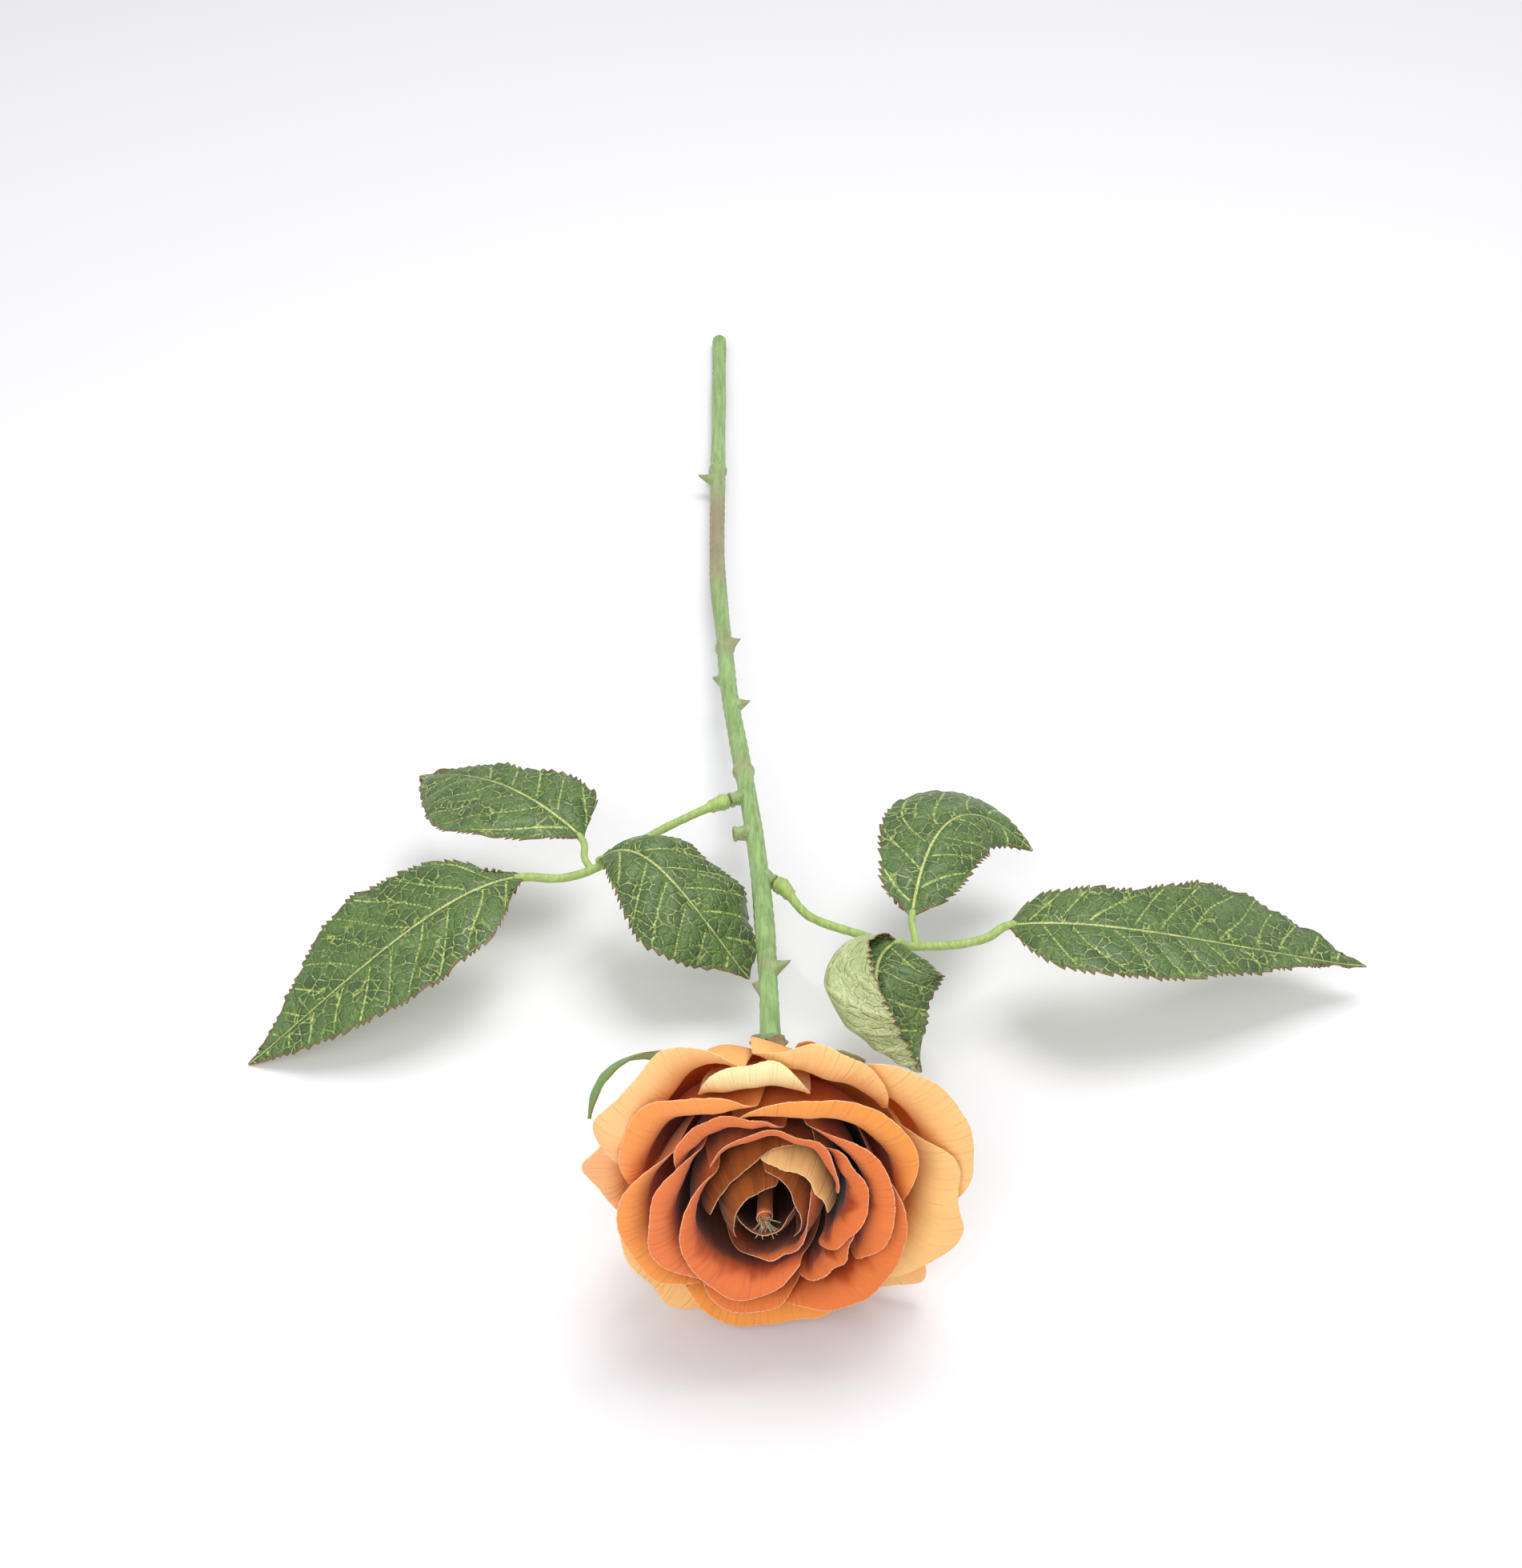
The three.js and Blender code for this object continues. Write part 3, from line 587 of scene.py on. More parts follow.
class Dye(Enum):
    """The cloths that the bloom is cut from: one for each ring of petals, a pale and a
    khaki one for single petals, and those of the core and its threads."""

    # In each cloth the fourth and sixth colours, the base and the back's base, are dye darkened further as
    # painted shade for the hollows deep in the bloom; the heart, bud and core bases are near black from it
    OUTER = PetalCloth(
        "outer_petal_cloth", CREAM, linear(255, 214, 142), linear(252, 174, 64), linear(248, 140, 26),
        linear(255, 208, 124), linear(248, 156, 48), linear(255, 196, 146), fade=40, glow=0.26)
    PALE = PetalCloth(
        "pale_petal_cloth", CREAM, linear(255, 240, 184), linear(252, 206, 122), linear(240, 150, 50),
        linear(255, 236, 178), linear(236, 176, 92), linear(255, 226, 186))
    MIDDLE = PetalCloth(
        "middle_petal_cloth", CREAM, linear(244, 160, 78), linear(226, 116, 24), linear(172, 56, 5),
        linear(244, 160, 70), linear(224, 112, 22), linear(252, 156, 100), fade=24, glow=0.15)
    INNER = PetalCloth(
        "inner_petal_cloth", CREAM, linear(224, 122, 62), linear(186, 76, 22), linear(76, 14, 2),
        linear(228, 126, 56), linear(160, 58, 12), linear(230, 126, 80), fade=18, glow=0.09)
    HEART = PetalCloth(
        "heart_petal_cloth", CREAM, linear(214, 112, 56), linear(156, 56, 14), linear(38, 6, 1),
        linear(206, 108, 44), linear(74, 22, 4), linear(224, 118, 74), fade=13, glow=0.05)
    BUD = PetalCloth(
        "bud_petal_cloth", CREAM, linear(204, 112, 54), linear(122, 56, 14), linear(40, 9, 2),
        linear(140, 72, 22), linear(76, 30, 6), linear(214, 122, 70), fade=12, glow=0.04)
    KHAKI = PetalCloth(
        "khaki_petal_cloth", CREAM, linear(255, 216, 150), linear(232, 172, 98), linear(96, 42, 8),
        linear(250, 206, 134), linear(150, 84, 28), linear(244, 196, 124), fade=14, glow=0.08)
    CORE = PetalCloth(
        "core_cloth", CREAM, linear(220, 120, 66), linear(120, 50, 16), linear(26, 6, 2),
        linear(216, 120, 66), linear(60, 20, 6), linear(224, 122, 70), fade=3, glow=0.04)
    THREAD = PetalCloth(
        "thread_cloth", CREAM, linear(255, 244, 206), linear(255, 236, 190), linear(250, 220, 160),
        linear(255, 240, 200), linear(252, 226, 170), linear(255, 240, 204), fade=60, glow=0.3)


@dataclass(frozen=True)
class LeafCloth:
    """Printed and lightly coated leaf cloth: dark green between a net of light veins,
    a reddish rim and a pale back."""

    name: str = "leaf_cloth"
    green: Colour = linear(88, 120, 58)
    deep: Colour = linear(58, 90, 42)
    vein: Colour = linear(204, 220, 120)
    midrib: Colour = linear(214, 222, 138)
    rim: Colour = linear(136, 84, 52)
    back: Colour = linear(186, 200, 138)
    back_vein: Colour = linear(222, 228, 176)
    back_patch: Colour = linear(160, 176, 112)

    def material(self) -> bpy.types.Material:
        """Makes the cloth's material.

        Returns:
            The material.
        """
        g = Graph(self.name)
        place = g.cloth_place((1, 1, 1))
        warped = g.add("ShaderNodeVectorMath", {
            0: place, 1: g.add("ShaderNodeTexNoise", {"Vector": place, "Scale": 0.5}).outputs["Color"],
        }, operation="ADD").outputs[0]
        net = g.cells(warped, 0.34)
        fine_net = g.cells(warped, 0.95)
        patches = g.noise(place, 0.11, 3.0)
        grain = g.noise(place, 3.2, 2.0)
        front = g.mix(g.remap(patches, 0.35, 0.65), self.green, self.deep)
        broken = g.remap(g.noise(place, 0.9, 2.0), 0.4, 0.56, 0.25, 1.0)
        netted = g.sum("MULTIPLY", g.remap(patches, 0.42, 0.62, 0.18, 1.0), broken)
        front = g.mix(g.sum("MULTIPLY", g.remap(net, 0.0, 0.075, 0.8, 0.0), netted), front, self.vein)
        front = g.mix(g.remap(fine_net, 0.0, 0.08, 0.12, 0.0), front, self.vein)
        side_vein = g.sum("MULTIPLY", g.remap(g.value("vein_distance"), 0.1, 0.42, 0.95, 0.0), broken)
        front = g.mix(side_vein, front, self.vein)
        front = g.mix(g.remap(g.value("rib_distance"), 0.2, 0.6, 0.95, 0.0), front, self.midrib)
        back = g.mix(g.remap(net, 0.02, 0.1, 0.4, 0.0), self.back, self.back_vein)
        back = g.mix(g.remap(g.value("vein_distance"), 0.15, 0.7, 0.8, 0.0), back, self.back_vein)
        back = g.mix(g.remap(g.value("rib_distance"), 0.3, 0.9, 0.9, 0.0), back, self.back_vein)
        back = g.mix(g.remap(patches, 0.4, 0.7, 0.0, 0.35), back, self.back_patch)
        colour = g.mix(g.value("face"), front, back)
        ragged = g.sum("ADD", g.value("edge_distance"), g.remap(grain, 0.3, 0.7, -0.3, 0.3))
        colour = g.mix(g.remap(ragged, 0.15, 0.75, 0.85, 0.0), colour, self.rim)
        colour = g.mix(0.2, colour, g.ramp(grain, [(0.3, (0.45, 0.5, 0.4)), (0.7, (1, 1, 1))]), "MULTIPLY")
        relief = g.bump(g.remap(net, 0.0, 0.22), 0.00035)
        relief = g.bump(g.remap(fine_net, 0.0, 0.2), 0.00012, relief)
        relief = g.bump(grain, 0.00008, relief)
        cloth = g.add("ShaderNodeBsdfPrincipled", {
            "Base Color": colour, "Roughness": g.remap(patches, 0.3, 0.7, 0.42, 0.56), "Normal": relief,
            "Specular IOR Level": 0.5, "Coat Weight": 0.35, "Coat Roughness": 0.32,
        })
        through = g.add("ShaderNodeBsdfTranslucent", {"Color": colour, "Normal": relief})
        both = g.add("ShaderNodeMixShader", {0: 0.12, 1: cloth.outputs[0], 2: through.outputs[0]})
        return g.finish(both.outputs[0])


@dataclass(frozen=True)
class SepalCloth:
    """Printed green sepal cloth, whitish and downy on its inner face."""

    name: str = "sepal_cloth"
    front: Colour = linear(150, 176, 100)
    down: Colour = linear(224, 226, 192)
    back: Colour = linear(104, 144, 74)
    rim: Colour = linear(128, 112, 66)
    tip: Colour = linear(84, 116, 58)

    def material(self) -> bpy.types.Material:
        """Makes the cloth's material.

        Returns:
            The material.
        """
        g = Graph(self.name)
        fibres = g.noise(g.cloth_place((1.6, 0.16, 1)), 1.0, 4.0)
        grain = g.noise(g.cloth_place((3, 3, 1)), 1.0, 2.0)
        inner = g.mix(g.value("downy"), self.front, self.down)
        colour = g.mix(g.value("face"), inner, self.back)
        near_tip = g.remap(g.value("rise"), 0.6, 1.0, 0.0, 0.3)
        colour = g.mix(near_tip, colour, self.tip)
        colour = g.mix(g.remap(g.value("edge_distance"), 0.1, 0.6, 0.6, 0.0), colour, self.rim)
        colour = g.mix(0.4, colour, g.ramp(fibres, [(0.3, (0.5, 0.5, 0.4)), (0.7, (1, 1, 1))]), "MULTIPLY")
        relief = g.bump(grain, 0.0001, g.bump(fibres, 0.0004))
        cloth = g.add("ShaderNodeBsdfPrincipled", {
            "Base Color": colour, "Roughness": 0.75, "Normal": relief, "Sheen Weight": 0.25,
        })
        return g.finish(cloth.outputs[0])


@dataclass(frozen=True)
class MouldedPlastic:
    """Moulded green plastic with streaks along its length and brown-mauve patches."""

    name: str
    light: Colour
    dark: Colour
    stain: Colour = linear(150, 124, 108)

    def material(self) -> bpy.types.Material:
        """Makes the plastic's material.

        Returns:
            The material.
        """
        g = Graph(self.name)
        streaks = g.noise(g.body_place((900, 55, 900)), 1.0, 4.0, 0.6)
        grain = g.noise(g.body_place((1, 1, 1)), 2600.0, 3.0)
        clouds = g.noise(g.body_place((1, 1, 1)), 60.0, 3.0)
        colour = g.mix(g.remap(streaks, 0.32, 0.68), self.light, self.dark)
        blotched = g.sum("MULTIPLY", g.value("stain"), g.remap(clouds, 0.3, 0.6, 0.35, 1.0))
        colour = g.mix(blotched, colour, self.stain)
        speckle = g.ramp(grain, [(0.35, (0.5, 0.52, 0.42)), (0.65, (1, 1, 1))])
        colour = g.mix(0.22, colour, speckle, "MULTIPLY")
        relief = g.bump(grain, 0.00008, g.bump(streaks, 0.00035))
        body = g.add("ShaderNodeBsdfPrincipled", {
            "Base Color": colour, "Roughness": g.remap(clouds, 0.3, 0.7, 0.4, 0.52), "Normal": relief,
            "Specular IOR Level": 0.45,
        })
        return g.finish(body.outputs[0])


@dataclass(frozen=True)
class TableTop:
    """A plain pale table with a faint even tone."""

    name: str = "pale_table"
    tone: Colour = (0.75, 0.75, 0.775)
    cloud: Colour = (0.735, 0.732, 0.75)

    def material(self) -> bpy.types.Material:
        """Makes the table's material.

        Returns:
            The material.
        """
        g = Graph(self.name)
        clouds = g.noise(g.body_place((1, 1, 1)), 3.0, 2.0)
        colour = g.mix(g.remap(clouds, 0.3, 0.7, 0.0, 0.25), self.tone, self.cloud)
        top = g.add("ShaderNodeBsdfPrincipled", {
            "Base Color": colour, "Roughness": 0.9, "Specular IOR Level": 0.1,
        })
        return g.finish(top.outputs[0])


def hand_over(
    shape: Shape, name: str, material: bpy.types.Material, node: str,
) -> bpy.types.Object:
    """Makes a piece that stands for a CAD node, dressed and riding on the root.

    Args:
        shape: its mesh.
        name: the piece's name.
        material: what it is made of.
        node: the CAD node that it replaces.

    Returns:
        The finished object.
    """
    piece = shape.to_object(name)
    piece.data.materials.append(material)
    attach(piece, "root")
    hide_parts(node)
    LOG.info("%s: %d points, stands for %s", name, len(shape.points), node)
    return piece


# ---- Bloom --------------------------------------------------------------------------


@dataclass(frozen=True)
class BloomAxis:
    """Where the bloom starts and the way that it faces."""

    base: tuple[float, float, float] = (2, 382, 36.5)
    tilt: float = 8

    def directions(self) -> tuple[Array, Array, Array]:
        """Works out which ways the bloom faces.

        Returns:
            Unit vectors to its right, to its top and out along its axis.
        """
        lean = math.radians(self.tilt)
        axis = unit(np.array([-0.03, -math.cos(lean), math.sin(lean)]))
        right = unit(np.array([1.0, 0, 0]) - axis * axis[0])
        return right, np.cross(axis, right), axis

    def place(self, azimuth: Array, radius: Array, height: Array) -> Array:
        """Points of the bloom: base + radius (cos a right + sin a up) + height axis.

        Args:
            azimuth: a, in radians.
            radius: distance from the axis.
            height: distance along it.

        Returns:
            A point for each.
        """
        right, up, axis = self.directions()
        azimuth, radius, height = np.broadcast_arrays(azimuth, radius, height)
        flat = (radius * np.cos(azimuth))[..., None] * right + (radius * np.sin(azimuth))[..., None] * up
        return np.array(self.base, float) + flat + height[..., None] * axis


BLOOM = BloomAxis()


@dataclass(frozen=True)
class CupLayers:
    """One family of nested cups, each named by the radius R of its crest. Knots give
    the crest's height and the slopes of the outline, in degrees off the axis."""

    crest_height: tuple = ((3, 40), (7, 39.5), (10, 39.3), (13, 39.7), (16, 40), (20, 40), (22, 39.2),
                           (24.4, 37.6), (26.4, 35.4), (28.2, 33), (30, 30.2), (32, 26.6), (34, 23.2),
                           (36, 20), (38, 16.8), (42, 9))
    crest_lean: tuple = ((3, -30), (7, -32), (10, -32), (13, -24), (16, -10), (19, 2), (22, 6),
                         (26, 9), (30, 11), (34, 14), (38, 19), (42, 26))
    base_lean: tuple = ((3, 28), (7, 38), (10, 46), (13, 54), (16, 60), (19, 64), (22, 68),
                        (26, 74), (30, 79), (34, 84), (38, 88), (42, 92))
    heart_dip: float = 6
    samples: int = 41
    rounds: int = 12

    def flare(self, lean: Array, bend: float, turn: Array, past: Array) -> tuple[Array, Array]:
        """Sideways and upward travel past the crest: an arc of the bend's radius that
        turns outward from the crest's lean, and then straight on.

        Args:
            lean: the crest's lean of each column.
            bend: the arc's radius.
            turn: how far it turns, in radians.
            past: length beyond the crest.

        Returns:
            The two travels.
        """
        turned = np.minimum(past / bend, turn)
        straight = np.maximum(past - turn * bend, 0)
        sideways = bend * (np.cos(lean) - np.cos(lean + turned)) + straight * np.sin(lean + turn)
        upward = bend * (np.sin(lean + turned) - np.sin(lean)) + straight * np.cos(lean + turn)
        return sideways, upward

    def lean_at(self, crest: Array) -> Array:
        """How far the crest of a layer leans outward, in radians."""
        return np.radians(through_knots(self.crest_lean, crest))

    def turn_at(self, crest: Array, lean: float) -> Array:
        """How far a rim turns past its crest to end at a lean in degrees, in radians."""
        return np.maximum(math.radians(lean) - self.lean_at(crest), 0)

    def crest_for(self, rim: Array, reach: float, lean: float, bend: float) -> Array:
        """The crest radius whose flare ends at a rim radius, found in damped rounds.

        Args:
            rim: the rim's radius at each column.
            reach: length past the crest.
            lean: the lean that the flare ends at, in degrees.
            bend: the flare's radius.

        Returns:
            The crest radius at each column.
        """
        crest = rim
        for _ in range(self.rounds):
            turn = self.turn_at(crest, lean)
            sideways, _ = self.flare(self.lean_at(crest), bend, turn, np.full_like(rim, reach))
            crest = (crest + rim - sideways) / 2
        return crest

    def outline(self, crest: Array, azimuth: Array) -> tuple[Array, Array, Array]:
        """Each column's outline as a cubic curve from (2.6 + 0.05R, 12 - 0.3R) to the
        crest, sampled evenly in its parameter.

        Args:
            crest: the layer R of each column.
            azimuth: the azimuth of each column's crest, in radians.

        Returns:
            samples x columns x 2 points, the length up to each, and the crest's lean.
        """
        lowered = np.clip((26 - crest) / 4, 0, 1) * np.clip((crest - 4) / 10, 0, 1)
        top = through_knots(self.crest_height, crest)
        top = top - self.heart_dip * lowered * np.maximum(np.sin(azimuth), 0)
        lean = np.radians(through_knots(self.crest_lean, crest))
        low_lean = np.radians(through_knots(self.base_lean, crest))
        start = np.stack([2.6 + 0.05 * crest, 12 - 0.3 * crest], -1)
        end = np.stack([crest, top], -1)
        chord = np.linalg.norm(end - start, axis=-1, keepdims=True)
        leaving = start + 0.38 * chord * np.stack([np.sin(low_lean), np.cos(low_lean)], -1)
        arriving = end - 0.42 * chord * np.stack([np.sin(lean), np.cos(lean)], -1)
        points = bezier(np.stack([start, leaving, arriving, end]), np.linspace(0, 1, self.samples))
        steps = np.linalg.norm(np.diff(points, axis=0), axis=-1)
        along = np.concatenate([np.zeros((1, len(crest))), np.cumsum(steps, axis=0)])
        return points, along, lean

    def follow(
        self, crest: Array, azimuth: Array, reach: Array, rim_lean: float, bend: float,
    ) -> tuple[Array, Array]:
        """Radius and height after going a length up each column's outline and on
        round its flare.

        Args:
            crest: the layer R of each column.
            azimuth: the azimuth of each column's crest, in radians.
            reach: rows x columns lengths from the base.
            rim_lean: the lean that the flare ends at, in degrees.
            bend: the flare's radius.

        Returns:
            Radius and height, rows x columns.
        """
        points, along, lean = self.outline(crest, azimuth)
        held = np.clip(reach, 0, along[-1])
        k = np.clip((along[:, None, :] <= held[None]).sum(0) - 1, 0, self.samples - 2)
        column = np.arange(len(crest))[None, :]
        low, high = along[k, column], along[k + 1, column]
        share = ((held - low) / np.maximum(high - low, 1e-9))[..., None]
        spot = points[k, column] * (1 - share) + points[k + 1, column] * share
        past = np.maximum(reach - along[-1], 0)
        sideways, upward = self.flare(lean, bend, self.turn_at(crest, rim_lean), past)
        return spot[..., 0] + sideways, spot[..., 1] + upward


LAYERS = CupLayers()


@dataclass(frozen=True)
class Petal:
    """One heat-formed petal on the cup layers.

    azimuth and half_width are in degrees; rim holds its rim's radii from its
    clockwise side to the other; reach goes past the crest, where the rim turns on a
    bend to its lean in degrees; drop lowers its sides; point stands at point_at;
    rosy tints it at its clockwise side, middle and other side.
    """

    azimuth: float
    half_width: float
    rim: tuple[float, ...]
    reach: float
    lean: float
    bend: float
    drop: float = 0.2
    point: float = 0
    point_at: float = 0
    rosy: tuple[float, float, float] = (0, 0, 0)
    wave: float = 0.5
    dye: Dye | None = None

    ROWS = 64
    COLUMNS = 104
    THICKNESS = 0.3
    WIDTH_ROW = -8
    BASE_HALF_ANGLE = 17
    PRESS_HEIGHT = 4.0
    TUCK = 0.12
    TUCK_FALL = 0.42
    TUCK_FROM = 0.8
    DROP_POWER = 2.6
    POINT_WIDTH = 0.22
    OPENING_SHARE = 0.42

    def shape(self, seed: int) -> Shape:
        """The petal as a closed sheet. A column at u from -1 to 1 stands at place
        p = u (1 + TUCK) on layer R(p); its height is (outline + reach)(1 - drop |p|^2.6
        - fall) + point e^-((p - at)/0.22)^2, the fall easing in over its last share,
        with small seeded waves; its azimuth opens from the narrow base to p half_width.

        Args:
            seed: which waves it has.

        Returns:
            The shape with its painted values.
        """
        u = np.sin(np.linspace(-1, 1, self.COLUMNS) * np.pi / 2 * 0.86) / math.sin(np.pi / 2 * 0.86)
        v = 1 - (1 - np.linspace(0, 1, self.ROWS)) ** 1.35
        place = u * (1 + self.TUCK)
        full_width = self.half_width * (1 + self.TUCK)
        rim = through_knots([(-1 + 0.5 * i, radius) for i, radius in enumerate(self.rim)], place)
        crest = LAYERS.crest_for(rim, self.reach, self.lean, self.bend)
        azimuth = np.radians(self.azimuth + full_width * u)
        length = LAYERS.outline(crest, azimuth)[1][-1]
        cusp = self.point * np.exp(-(((place - self.point_at) / self.POINT_WIDTH) ** 2))
        fall = self.TUCK_FALL * ease((np.abs(u) - self.TUCK_FROM) / (1 - self.TUCK_FROM))
        sides = 1 - self.drop * np.minimum(np.abs(place), 1) ** self.DROP_POWER - fall
        height = (length + self.reach) * sides + cusp
        height = height + self.wave * ripple(u, 0.9, seed) + 0.05 * ripple(u, 10, seed + 1, 6)
        reach = v[:, None] * height[None, :]
        opened = ease(reach / (length * self.OPENING_SHARE))
        spread = self.BASE_HALF_ANGLE + (full_width - self.BASE_HALF_ANGLE) * opened
        frayed = 1 + 0.002 * ripple(v, 14, seed + 2, 6)[:, None] * ease((np.abs(u) - 0.9) / 0.1)
        radius, along_axis = LAYERS.follow(crest, azimuth, reach, self.lean, self.bend)
        rise = np.broadcast_to(v[:, None], radius.shape)
        upper = ease((rise - 0.5) / 0.5)
        flutes = ripple(u, 1.4, seed + 3)[None, :] + 0.12 * ripple(u, 6, seed + 4)[None, :]
        radius = radius + self.wave * 0.5 * upper * flutes
        along_axis = along_axis - self.wave * 0.4 * upper * ripple(u, 1.9, seed + 5)[None, :]
        points = BLOOM.place(np.radians(self.azimuth + spread * u * frayed), radius, along_axis)
        low = points[..., 2] < self.PRESS_HEIGHT
        pressed = self.PRESS_HEIGHT * np.exp(np.minimum(points[..., 2] / self.PRESS_HEIGHT - 1, 0))
        points[..., 2] = np.where(low, pressed, points[..., 2])
        return self.painted_sheet(points, u, v)

    def painted_sheet(self, points: Array, u: Array, v: Array) -> Shape:
        """Works out the cloth's places and edge distances and closes the sheet.

        Args:
            points: the middle surface, rows x columns.
            u: place across of each column, -1 to 1.
            v: place up of each row, 0 to 1.

        Returns:
            The closed petal.
        """
        across = np.linalg.norm(np.diff(points, axis=1), axis=-1)
        across = np.concatenate([np.zeros((len(v), 1)), np.cumsum(across, axis=1)], axis=1)
        up = np.linalg.norm(np.diff(points, axis=0), axis=-1)
        up = np.concatenate([np.zeros((1, len(u))), np.cumsum(up, axis=0)], axis=0)
        to_rim = up[-1:] - up
        to_side = np.minimum(across, across[:, -1:] - across)
        width = across[self.WIDTH_ROW, -1] * (u[None, :] + 1) / 2
        uv = np.stack(np.broadcast_arrays(width, up), -1)
        rosy = np.interp(u, [-1, 0, 1], self.rosy)[None, :] * np.exp(-to_rim / 16)
        thickness = self.THICKNESS * (0.4 + 0.6 * ease(np.minimum(to_rim, to_side + 0.3) / 1.2))
        return sheet(points, thickness, uv, {
            "rim_distance": to_rim,
            "edge_distance": np.minimum(to_rim, to_side),
            "rosy": rosy,
        })


@dataclass(frozen=True)
class Ring:
    """A ring of petals of one kind."""

    name: str
    dye: Dye
    petals: tuple[Petal, ...]


OUTER_RING = Ring("outer_petal", Dye.OUTER, (
    Petal(131, 34, (41.9, 43.7, 41.8, 40.2, 39.8), 14, 115, 7.6,
          point=4, point_at=0.6, rosy=(0.2, 0.5, 1)),
    Petal(68, 29, (41.7, 42, 41.2, 41.7, 43.1), 13, 112, 7.5, rosy=(0.2, 0.2, 0.3)),
    Petal(27, 42, (47.3, 46.5, 46, 45, 45.1), 15, 115, 8, rosy=(0, 0.2, 0.2)),
    Petal(352, 42, (40.3, 41.1, 41.5, 42.2, 41), 12, 115, 6.5, point=4, point_at=-0.25),
    Petal(308, 32, (43.3, 45, 45.3, 44, 43.5), 8.5, 80, 6, point=4, point_at=0.25, rosy=(0.1, 0.3, 0.6)),
    Petal(240, 44, (41.6, 41.6, 42.9, 43.1, 42), 9, 80, 6,
          drop=0.24, point=5, point_at=0.16, rosy=(0.4, 0.1, 0)),
    Petal(170, 36, (37.7, 36.7, 35.9, 35.9, 35.2), 6.5, 80, 4.5,
          drop=0.24, point=4, rosy=(0.9, 0.8, 0.7)),
    Petal(95, 25, (36.2, 36.8, 36.4, 36.5, 37.2), 9.5, 112, 4.4, drop=0.16, dye=Dye.PALE),
))
MIDDLE_RING = Ring("middle_petal", Dye.MIDDLE, (
    Petal(132, 42, (35, 34.5, 36.5, 35.8, 34.5), 10.5, 105, 5.8, drop=0.18, rosy=(0.1, 0.4, 0.8)),
    Petal(188, 52, (29.6, 31, 31.3, 31.5, 29.9), 8.5, 90, 5.6, rosy=(0.6, 0.3, 0.1)),
    Petal(54, 56, (35.9, 36.5, 35.7, 32.6, 31.2), 10.5, 105, 5.8, drop=0.18),
    Petal(268, 46, (34.5, 35.5, 37.1, 36.4, 34.5), 8.5, 85, 6),
))
INNER_RING = Ring("inner_petal", Dye.INNER, (
    Petal(334, 60, (28.4, 28.8, 30.2, 31.6, 32), 8.5, 92, 5.4, drop=0.16),
    Petal(114, 38, (27.1, 26.1, 27.6, 27.4, 26.7), 8.5, 92, 5.4, drop=0.16, rosy=(0.1, 0.2, 0.3)),
    Petal(184, 58, (25.9, 25, 24.7, 23.4, 22.8), 8.5, 92, 5.4, drop=0.16, rosy=(0.3, 0.6, 0.5)),
    Petal(258, 38, (25.4, 24.6, 24.2, 23.3, 23.5), 6, 80, 4.5),
    Petal(20, 52, (27.5, 27.3, 28.8, 28.6, 28.4), 8.5, 92, 5.4, drop=0.16),
))
HEART_RING = Ring("heart_petal", Dye.HEART, (
    Petal(222, 93, (17.9, 18.7, 17.6, 16.7, 15.4), 7.5, 85, 4.5,
          drop=0.1, point=3, point_at=0.28, rosy=(0.3, 0.5, 0.3)),
    Petal(16, 46, (15.5, 18.3, 22.9, 24.9, 25.7), 7.5, 85, 4.5, drop=0.14),
    Petal(328, 36, (20.6, 19.2, 17.8, 20.2, 23.2), 6, 80, 4.5, drop=0.16),
    Petal(316, 80, (11.4, 10.1, 9.2, 9.4, 11.2), 4, 28, 5, drop=0.12, rosy=(0.2, 0.2, 0.1)),
    Petal(79, 61, (18.9, 22.1, 22.1, 20.9, 19.7), 6.5, 85, 4.5, drop=0.12, rosy=(0.1, 0.4, 0.5)),
))
BUD_RING = Ring("bud_petal", Dye.BUD, (
    Petal(126, 64, (15.1, 12.4, 10.2, 10.1, 10.7), 2, -32, 5, drop=0.1, wave=0.25),
    Petal(48, 52, (12.3, 12.2, 12.1, 10.2, 10.2), 2, -32, 5, drop=0.1, wave=0.25, dye=Dye.KHAKI),
    Petal(21, 76, (7.5, 7.8, 7.2, 7.9, 7.7), 2, -32, 5, drop=0.1, wave=0.2),
    Petal(150, 88, (5.5, 5.5, 6, 6.4, 8.3), 2, -32, 5, drop=0.1, wave=0.2),
    Petal(270, 90, (4.6, 4.2, 4, 4, 3.6), 2, -32, 5, drop=0.1, wave=0.15),
))


